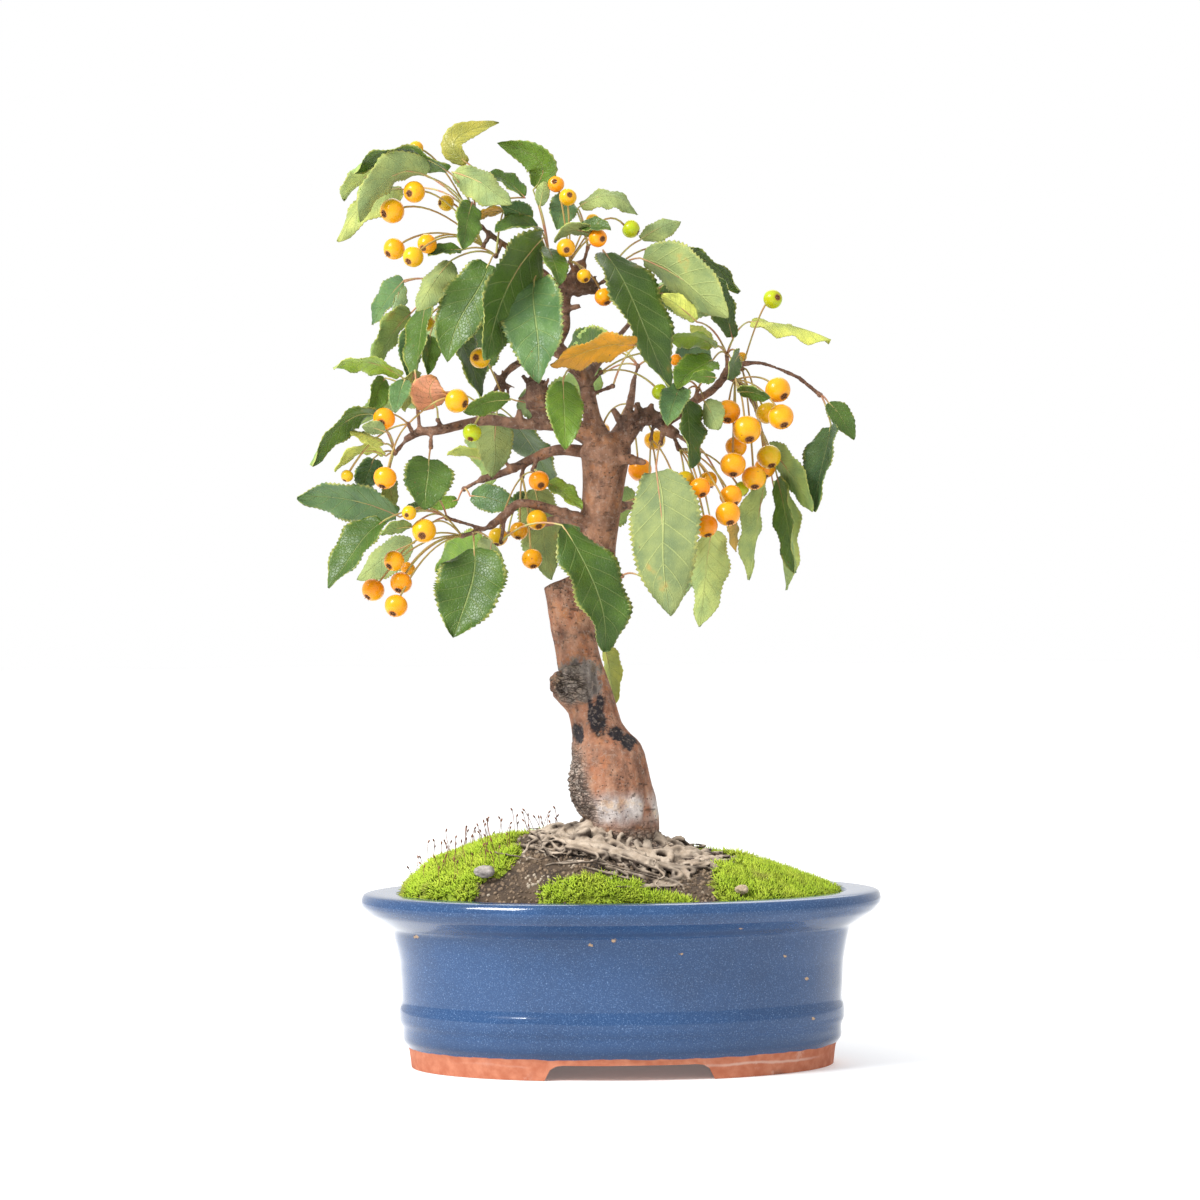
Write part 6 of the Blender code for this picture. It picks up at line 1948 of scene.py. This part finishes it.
class BONSAI_OT_wood(bpy.types.Operator):
    """Make the trunk, roots, branches and twigs in one skin of bark"""
    bl_idname = "bonsai.wood"
    bl_label = "Trunk, roots and twigs"

    def execute(self, context):
        s = context.scene.bonsai_wood
        shapes = [tube(smooth_path(limb_path(TRUNK), 5), FINE_TRUNK_SIDES)]
        for i, (_, rows) in enumerate(LIMBS.values()):
            path = smooth_path(limb_path(rows), 6)
            if rows[0][3] > THICK_LIMB:
                shapes.append(tube(path, FINE_LIMB_SIDES))
            else:
                shapes.append(tube(knobbly(path, 7.0, 0.28, i), FINE_TWIG_SIDES))
        shapes.append(tube(limb_path(KNOT[:2]), 16))
        shapes += self.knobs()
        for i, (start, hub, _) in enumerate(HUBS.values()):
            a, b = spur_path(start, hub)
            b = (seen(*hub), b[1] * 0.8)
            path = [(a[0].lerp(b[0], k / 6), a[1] + (b[1] - a[1]) * (k / 6)) for k in range(7)]
            shapes.append(tube(knobbly(path, 2.4, 0.35, i), 10))
            shapes.append(lump(b[0], HUB_R * 0.95, 10))
        for turn, long, thick in ROOTS:
            path = [(p - Vector((0, 0, hollow(p.x, p.y) * ROOT_SINK)), r)
                    for p, r in root_path(turn, long, thick)]
            shapes.append(tube(smooth_path(path, 5), 14))
        mesh = self.joined(shapes, s.detail)
        self.bark(mesh, s)
        place("wood", mesh, bark_skin(s), nodes=["trunk"])
        roots = [tube(path, THIN_ROOT_SIDES) for path in self.fine_roots()]
        made = self.joined(roots, s.detail * THIN_ROOT_DETAIL, 0)
        normals = [corner.normal.copy() for corner in made.vertices]
        tints = []
        for corner, normal in zip(made.vertices, normals):
            point = corner.co / MM
            corner.co += normal * (0.30 * noise.noise(point * 0.5) + 0.18 * noise.noise(point * 1.3)) * MM
            # Painted shade on the thin roots: pale where they face up, dark where they face down.
            tints.append(self.root_tone_and_shade(normal, noise.noise(point * 0.12)))
        store_tint(made, tints)
        place("thin_roots", made, root_skin())
        return {"FINISHED"}

    def knobs(self):
        """Small lumps of the knot on the trunk and of the cut spurs."""
        rng = random.Random(KNOB_SEED)
        made = []
        for px, py, deep, wide, count, small, large in KNOB_GROUPS:
            for _ in range(count):
                turn, tilt = rng.uniform(0, 6.28), rng.uniform(-1, 1)
                reach = wide * MM_PER_PX / 2
                way = Vector((math.cos(turn), math.sin(turn), tilt))
                at = seen(px, py, deep) + way * reach * rng.uniform(0.5, 1.0)
                made.append(lump(at, rng.uniform(small, large), 8))
                for _ in range(2 if small < 1.5 else 0):
                    stray = Vector([rng.uniform(-0.7, 0.7) for _ in range(3)])
                    end = at + (way + stray + Vector((0, 0, 0.6))).normalized() * rng.uniform(3.0, 7.5)
                    made.append(tube([(at, 1.2), (at.lerp(end, 0.5), 1.1), (end, 0.7)], 7))
        return made

    def fine_roots(self):
        """Thin roots that spill from the trunk's neck, lie over each other, and fork."""
        rng = random.Random(ROOT_SEED)
        paths = []
        for i in range(THIN_ROOTS):
            turn = math.radians(rng.uniform(182, 358) if i % 8 else rng.uniform(0, 180))
            ahead = max(0.0, -math.sin(turn)) ** 2
            start, long = rng.uniform(10, 17), rng.uniform(28, 50) + 30 * ahead
            thick, rise = rng.uniform(1.2, 2.7), rng.uniform(3, 15)
            swing, beat = rng.uniform(-0.5, 0.5), rng.uniform(0, 6.28)
            path = []
            for k in range(15):
                share = k / 14
                reach = start + long * share
                angle = turn + swing * share ** 1.5 + (0.20 * math.sin(share * 13 + beat)
                                                       + 0.10 * math.sin(share * 29 - beat)) * (0.4 + share)
                x = TRUNK_FOOT[0] + reach * math.cos(angle)
                y = TRUNK_FOOT[1] + reach * math.sin(angle) * 0.95
                if oval_place(x, y)[0] > 0.93 or moss_share(x, y) > 0.8:
                    break
                near = max(0.0, 1.0 - (reach - 11) / 34)
                z = fine_ground(x, y) + thick * 0.6 + rise * near + 2.2 * math.sin(share * 15 + beat)
                knob = 1.0 + 0.22 * math.sin(share * 31 + beat)
                path.append((Vector((x, y, z)), max(0.6, thick * (1.1 - 0.65 * share) * knob)))
            if len(path) > 4:
                paths.append(smooth_path(path, 2))
            if len(path) > 9:
                out = Vector((rng.uniform(-1, 1), rng.uniform(-1, 1), 0.0)) * 1.6
                fork = [(p + out * n, max(0.6, r * 0.75)) for n, (p, r) in enumerate(path[5:])]
                paths.append(smooth_path(fork, 2))
        return paths

    def root_tone_and_shade(self, normal, lot):
        """Colour of a root with painted shade: pale on top and dark in the gaps under it, by which way it
        faces, with a tone that varies at random.
        """
        return between((0.060, 0.040, 0.028), (0.50, 0.41, 0.32), clamp(normal.z + 0.10 + lot * 1.1))

    def joined(self, shapes, size, rounds=2):
        """One skin over many shapes, from cells of a size, smoothed some rounds."""
        work = bmesh.new()
        for shape in shapes:
            part = shape.mesh("limb")
            work.from_mesh(part)
            bpy.data.meshes.remove(part)
        mesh = bpy.data.meshes.new("wood")
        work.to_mesh(mesh)
        work.free()
        holder = linked("holder", mesh)
        remesh = holder.modifiers.new("skin", "REMESH")
        remesh.mode, remesh.voxel_size = "VOXEL", size
        remesh.use_smooth_shade = True
        soft = holder.modifiers.new("soft", "SMOOTH")
        soft.factor, soft.iterations = 0.5, rounds
        made = baked(holder)
        bpy.data.objects.remove(holder)
        return made

    def bark(self, mesh, s):
        """Push the skin in and out, and colour it by where it lies."""
        moved, tints, gnarls = [], [], []
        normals = [corner.normal.copy() for corner in mesh.vertices]
        axis = [(point.z, point.x, radius) for point, radius in limb_path(TRUNK)]
        for corner, normal in zip(mesh.vertices, normals):
            point = (corner.co - MIDDLE) / MM
            middle, radius = beside(axis, point.z)
            off = point.x - middle
            foot = Vector((point.x - TRUNK_FOOT[0], point.y - TRUNK_FOOT[1]))
            spread = point.z < ROOTS_SPREAD and foot.length > radius * 1.25
            trunk = 1.0 if point.z < TRUNK_TOP and abs(off) < radius * 1.5 and not spread else 0.0
            root = 1.0 if point.z < ROOTS_TOP and not trunk else 0.0
            flat = Vector((point.x, point.y, 0.0))
            low = noise.noise(flat * 0.10 + Vector((0, 0, point.z * 0.04)))
            mid = noise.noise(flat * 0.30 + Vector((7, 3, point.z * 0.12)))
            fine = noise.noise(point * 0.9)
            rings = noise.noise(flat * 0.05 + Vector((0, 0, point.z * 0.55 + mid)))
            rough = trunk * near_to(off / radius, -1.0, 0.55) * near_to(point.z, *ROUGH_BAND)
            neck = trunk * near_to(point.z, *NECK_BAND)
            knot = near_to((point - KNOT_AT).length, 0.0, KNOT_REACH)
            depth = (low * 0.8 + mid * 0.35 + fine * 0.12) * (0.4 + 0.6 * trunk)
            depth += rough * (fine * 2.0 + mid * 1.6 + rings) + neck * (rings * 2.0 + fine * 0.7)
            depth += knot * (fine * 1.6 + mid)
            ray = foot.normalized() * 7.0
            groove = noise.noise(Vector((ray.x + low * 0.8, ray.y, foot.length * 0.07)))
            depth += root * groove * 2.6
            scar = self.scarred(point, fine, mid)
            depth -= scar * 0.7
            moved.extend(corner.co + normal * depth * s.roughness)
            gnarls.append(min(1.0, 1.5 * max(rough, neck, knot, 0.25 * root)))
            # Painted shade on the roots of the wood: dark where they face down and in their grooves.
            tints.append(self.root_tone_and_shade(normal, groove * 1.2 - 0.60) if root else
                         self.tint_at(point, low, mid, fine, (trunk, rough, neck, knot, scar), s))
        mesh.vertices.foreach_set("co", moved)
        store_tint(mesh, tints)
        store(mesh, "gnarl", gnarls)
        mesh.update()

    def scarred(self, point, fine, mid):
        """How black a spot on the front of the trunk is, from 0 to 1."""
        if point.y > 2:
            return 0.0
        most = 0.0
        for px, py, wide, tall in SCARS:
            at = seen(px, py)
            reach = math.hypot((point.x - at.x) / wide, (point.z - at.z) / tall)
            most = max(most, clamp((1.15 - reach + fine * 0.3 + mid * 0.5) * 4))
        return most

    def tint_at(self, point, low, mid, fine, marks, s):
        """Colour of the bark at a point, by where it lies and how strong each mark is there."""
        trunk, rough, neck, knot, scar = marks
        share = clamp(0.5 + mid * 0.9)
        if trunk:
            colour = between(s.bark, (0.310, 0.172, 0.112), share)
            pale = near_to(point.z, *PALE_BAND) * (1 - rough)
            colour = colour.lerp(Vector((0.46, 0.43, 0.42)), min(1.0, pale * 1.5 * (0.8 + low + mid * 0.5)))
            colour = colour.lerp(between((0.38, 0.30, 0.25), (0.15, 0.105, 0.080), share),
                                 min(1.0, rough * 1.8))
            colour = colour.lerp(between((0.34, 0.26, 0.20), (0.13, 0.09, 0.066), share),
                                 min(1.0, neck * 1.8))
        else:
            stem = between((0.210, 0.104, 0.060), (0.300, 0.165, 0.105), share)
            twig = between((0.125, 0.066, 0.044), (0.24, 0.135, 0.088), share)
            colour = twig.lerp(stem, near_to(point.z, 300, 88) ** 0.5 * near_to(point.x, -11, 46) ** 0.5)
            burnt = max(near_to((point - at).length, 0.0, reach) for at, reach in DARK_AT)
            colour = colour.lerp(Vector((0.060, 0.036, 0.028)), min(0.85, burnt * 1.6) * (0.7 + mid * 0.5))
        if trunk:
            for z, deep in BARK_RINGS:
                ring = near_to(point.z + mid * 4, z, deep) * max(0.0, 0.5 + fine)
                colour = colour.lerp(Vector((0.07, 0.05, 0.04)), ring)
            away = math.hypot(point.x - GREY_AT.x, (point.z - GREY_AT.z) * 1.1)
            colour = colour.lerp(between((0.27, 0.245, 0.225), (0.105, 0.09, 0.08), share),
                                 clamp((15.0 + 6 * mid + 4 * fine - away) * 0.4))
            colour = colour.lerp(between((0.30, 0.245, 0.205), (0.09, 0.068, 0.056), share),
                                 min(1.0, knot * 1.8))
        return colour.lerp(Vector((0.016, 0.013, 0.017)), scar)


# Bands of the trunk as middle and reach in mm, and how high the roots and the trunk go.
ROUGH_BAND, NECK_BAND, PALE_BAND = (160, 34), (124, 16), (147, 13)
ROOTS_SPREAD, ROOTS_TOP, TRUNK_TOP = 128, 150, 282
KNOT_REACH = 15.0

# Sides of the finished trunk, limbs and twigs, and the width in pixels over which a limb is thick.
FINE_TRUNK_SIDES, FINE_LIMB_SIDES, FINE_TWIG_SIDES, THICK_LIMB = 40, 20, 12, 16

# Black marks on the trunk: pixel across and down, half width and half height in mm.
SCARS = ((597, 716, 5.6, 10.5), (577, 733, 3.4, 5.6), (616, 733, 5.0, 4.2), (628, 740, 4.6, 4.4))
BARK_RINGS = ((seen(575, 634).z, 2.6), (seen(560, 583).z, 6.0), (seen(565, 570).z, 6.0))
KNOT_AT = seen(570, 687, -12)
GREY_AT = seen(579, 680, -8)
DARK_AT = [(seen(*group[:3]), group[3] * MM_PER_PX / 2 + 6.0) for group in KNOB_GROUPS[2:]]


def between(low, high, share):
    """Colour part of the way from one to the other."""
    return Vector(low).lerp(Vector(high), share)


def beside(axis, z):
    """Middle and radius of the trunk at a height, from its rows in rising order."""
    for (low, x0, r0), (high, x1, r1) in zip(axis, axis[1:]):
        if low <= z <= high:
            share = (z - low) / (high - low)
            return x0 + (x1 - x0) * share, r0 + (r1 - r0) * share
    return axis[0][1:] if z < axis[0][0] else axis[-1][1:]


class BONSAI_OT_leaves(bpy.types.Operator):
    """Make every leaf with its stalk"""
    bl_idname = "bonsai.leaves"
    bl_label = "Leaves"

    def execute(self, context):
        s = context.scene.bonsai_leaves
        green, dry = blade_skin("leaf_blade"), blade_skin("dry_leaf_blade", 1.0)
        stalk = stalk_skin("leaf_stalk", s.stalk, (0.40, 0.17, 0.09))
        paths = []
        for node, rows in plan()["leaves"].items():
            sheet = Sheet()
            letters = SPRAY_TONES.get(node, BACK_TONES)
            for i, args in rows:
                tones = TONES[letters[i % len(letters)]]
                fine_leaf(sheet, args, tones, s.blade / MM, s.vein_lift / MM)
                hub, bend, base, middle, tip = args[:5]
                line = [(curve(hub, bend, base, t), 0.62 - 0.12 * t) for t in (k / 8 for k in range(9))]
                line += [(curve(base, middle, tip, t), radius)
                         for t, radius in ((0.05, 0.55), (0.10, 0.40), (0.3, 0.30), (0.5, 0.22))]
                paths.append(line)
            mesh = sheet.mesh(node + "_blades")
            store(mesh, "under", sheet.under)
            skin = dry if node in DRY_LEAVES else green
            place(node + "_blades", mesh, skin, nodes=[node])
        stalks("leaf_stalks", paths, STALK_SIDES, stalk)
        return {"FINISHED"}


# Fruit still green, by its bunch and its place in it, and how warm it and the ripe ones are.
GREEN, RIPE = -2.0, (-0.9, 0.6)
GREEN_FRUIT = {("fruit_right_high", 0), ("fruit_low_right_inner", 2), ("fruit_low_right", 4),
               ("fruit_middle", 0), ("fruit_crown", 5), ("fruit_centre_left", 1)}


class BONSAI_OT_fruit(bpy.types.Operator):
    """Make the bunches of fruit and their stalks"""
    bl_idname = "bonsai.fruit"
    bl_label = "Fruit"

    def execute(self, context):
        s = context.scene.bonsai_fruit
        skin = fruit_skin(s)
        stalk = stalk_skin("fruit_stalk", s.stalk, (0.36, 0.30, 0.08))
        paths = []
        rng = random.Random(FRUIT_SEED)
        for node, rows in plan()["fruit"].items():
            sheet = Sheet()
            for i, args in enumerate(rows):
                fine_fruit(sheet, args, GREEN if (node, i) in GREEN_FRUIT else rng.uniform(*RIPE))
                hub, bend, centre, radius, axis = args
                neck = centre - axis * radius * 0.80
                paths.append([(curve(hub, bend, neck, t), 0.5 + 0.2 * abs(t - 0.35))
                              for t in (k / 10 for k in range(11))])
            mesh = sheet.mesh(node + "_skins")
            place(node + "_skins", mesh, skin, nodes=[node])
        stalks("fruit_stalks", paths, STALK_SIDES, stalk)
        return {"FINISHED"}


# Floor in metres; lights as name, place, size and power, and the spot that they point at.
FLOOR_HALF, FLOOR_Z = 14.0, -0.0002
FLOOR_TONE, FLOOR_GLOW = 0.90, 0.12
LIGHTS = (("key", (-1.62, -1.22, 1.82), 0.9, 95.0), ("rim", (0.3, 1.9, 1.8), 1.5, 14.0))
LIT_SPOT = Vector((0, 0, 0.25))
SENSOR_WIDE = 36.0


class BONSAI_OT_stage(bpy.types.Operator):
    """Lay the floor and set the lights and the camera"""
    bl_idname = "bonsai.stage"
    bl_label = "Stage"

    def execute(self, context):
        scene = context.scene
        mesh = bpy.data.meshes.new("floor")
        corners = ((-1, -1), (1, -1), (1, 1), (-1, 1))
        mesh.from_pydata([(x * FLOOR_HALF, y * FLOOR_HALF, FLOOR_Z) for x, y in corners], [], [(0, 1, 2, 3)])
        floor = linked("floor", mesh)
        skin = Skin("pale_floor", 0.7, Base_Color=(FLOOR_TONE, FLOOR_TONE, FLOOR_TONE, 1.0),
                    Emission_Color=(1.0, 1.0, 1.0, 1.0), Emission_Strength=FLOOR_GLOW)
        scene.view_settings.view_transform = "Standard"
        mesh.materials.append(skin.material)
        world = bpy.data.worlds.new("studio")
        world.use_nodes = True
        sky = world.node_tree.nodes["Background"].inputs
        sky["Color"].default_value, sky["Strength"].default_value = (1.0, 1.0, 1.0, 1.0), 1.0
        scene.world = world
        for light in LIGHTS:
            self.light(*light)
        self.camera(scene)
        return {"FINISHED"}

    def light(self, name, at, size, power):
        data = bpy.data.lights.new(name, "AREA")
        data.size, data.energy = size, power
        lamp = linked(name, data)
        lamp.location = at
        lamp.rotation_euler = (LIT_SPOT - Vector(at)).to_track_quat("-Z", "Y").to_euler()

    def camera(self, scene):
        data = bpy.data.cameras.new("photo_view")
        data.sensor_width = SENSOR_WIDE
        data.lens = EYE_AWAY / MM_PER_PX / (2 * PHOTO_MIDDLE) * data.sensor_width
        eye = linked("photo_view", data)
        ahead = Vector((math.sin(YAW), math.cos(YAW), 0.0))
        right = Vector((math.cos(YAW), -math.sin(YAW), 0.0))
        up = Vector((0.0, 0.0, 1.0))
        image_right = right * math.cos(ROLL) - up * math.sin(ROLL)
        image_up = right * math.sin(ROLL) + up * math.cos(ROLL)
        turn = Matrix((image_right, image_up, -ahead)).transposed().to_4x4()
        eye.matrix_world = Matrix.Translation(MIDDLE + EYE * MM) @ turn
        scene.camera = eye


class BONSAI_PT_panel(bpy.types.Panel):
    """The pieces of the bonsai and their settings"""
    bl_label = "Bonsai"
    bl_idname = "BONSAI_PT_panel"
    bl_space_type = "VIEW_3D"
    bl_region_type = "UI"
    bl_category = "Bonsai"

    def draw(self, context):
        for step in STEPS:
            self.layout.operator(step.bl_idname)
        for group in SETTINGS:
            box = self.layout.box()
            for name in SETTINGS[group].__annotations__:
                box.prop(getattr(context.scene, group), name)


SETTINGS = {"bonsai_pot": BonsaiPotSettings, "bonsai_ground": BonsaiGroundSettings,
            "bonsai_wood": BonsaiWoodSettings, "bonsai_leaves": BonsaiLeafSettings,
            "bonsai_fruit": BonsaiFruitSettings}
STEPS = (BONSAI_OT_stage, BONSAI_OT_pot, BONSAI_OT_ground, BONSAI_OT_wood, BONSAI_OT_leaves,
         BONSAI_OT_fruit)


def register():
    for cls in (*SETTINGS.values(), *STEPS, BONSAI_PT_panel):
        bpy.utils.register_class(cls)
    for name, cls in SETTINGS.items():
        setattr(bpy.types.Scene, name, PointerProperty(type=cls))


def unregister():
    for name in SETTINGS:
        delattr(bpy.types.Scene, name)
    for cls in reversed((*SETTINGS.values(), *STEPS, BONSAI_PT_panel)):
        bpy.utils.unregister_class(cls)


def main():
    register()
    for step in STEPS:
        group, name = step.bl_idname.split(".")
        getattr(getattr(bpy.ops, group), name)()


if __name__ == "__main__":
    main()
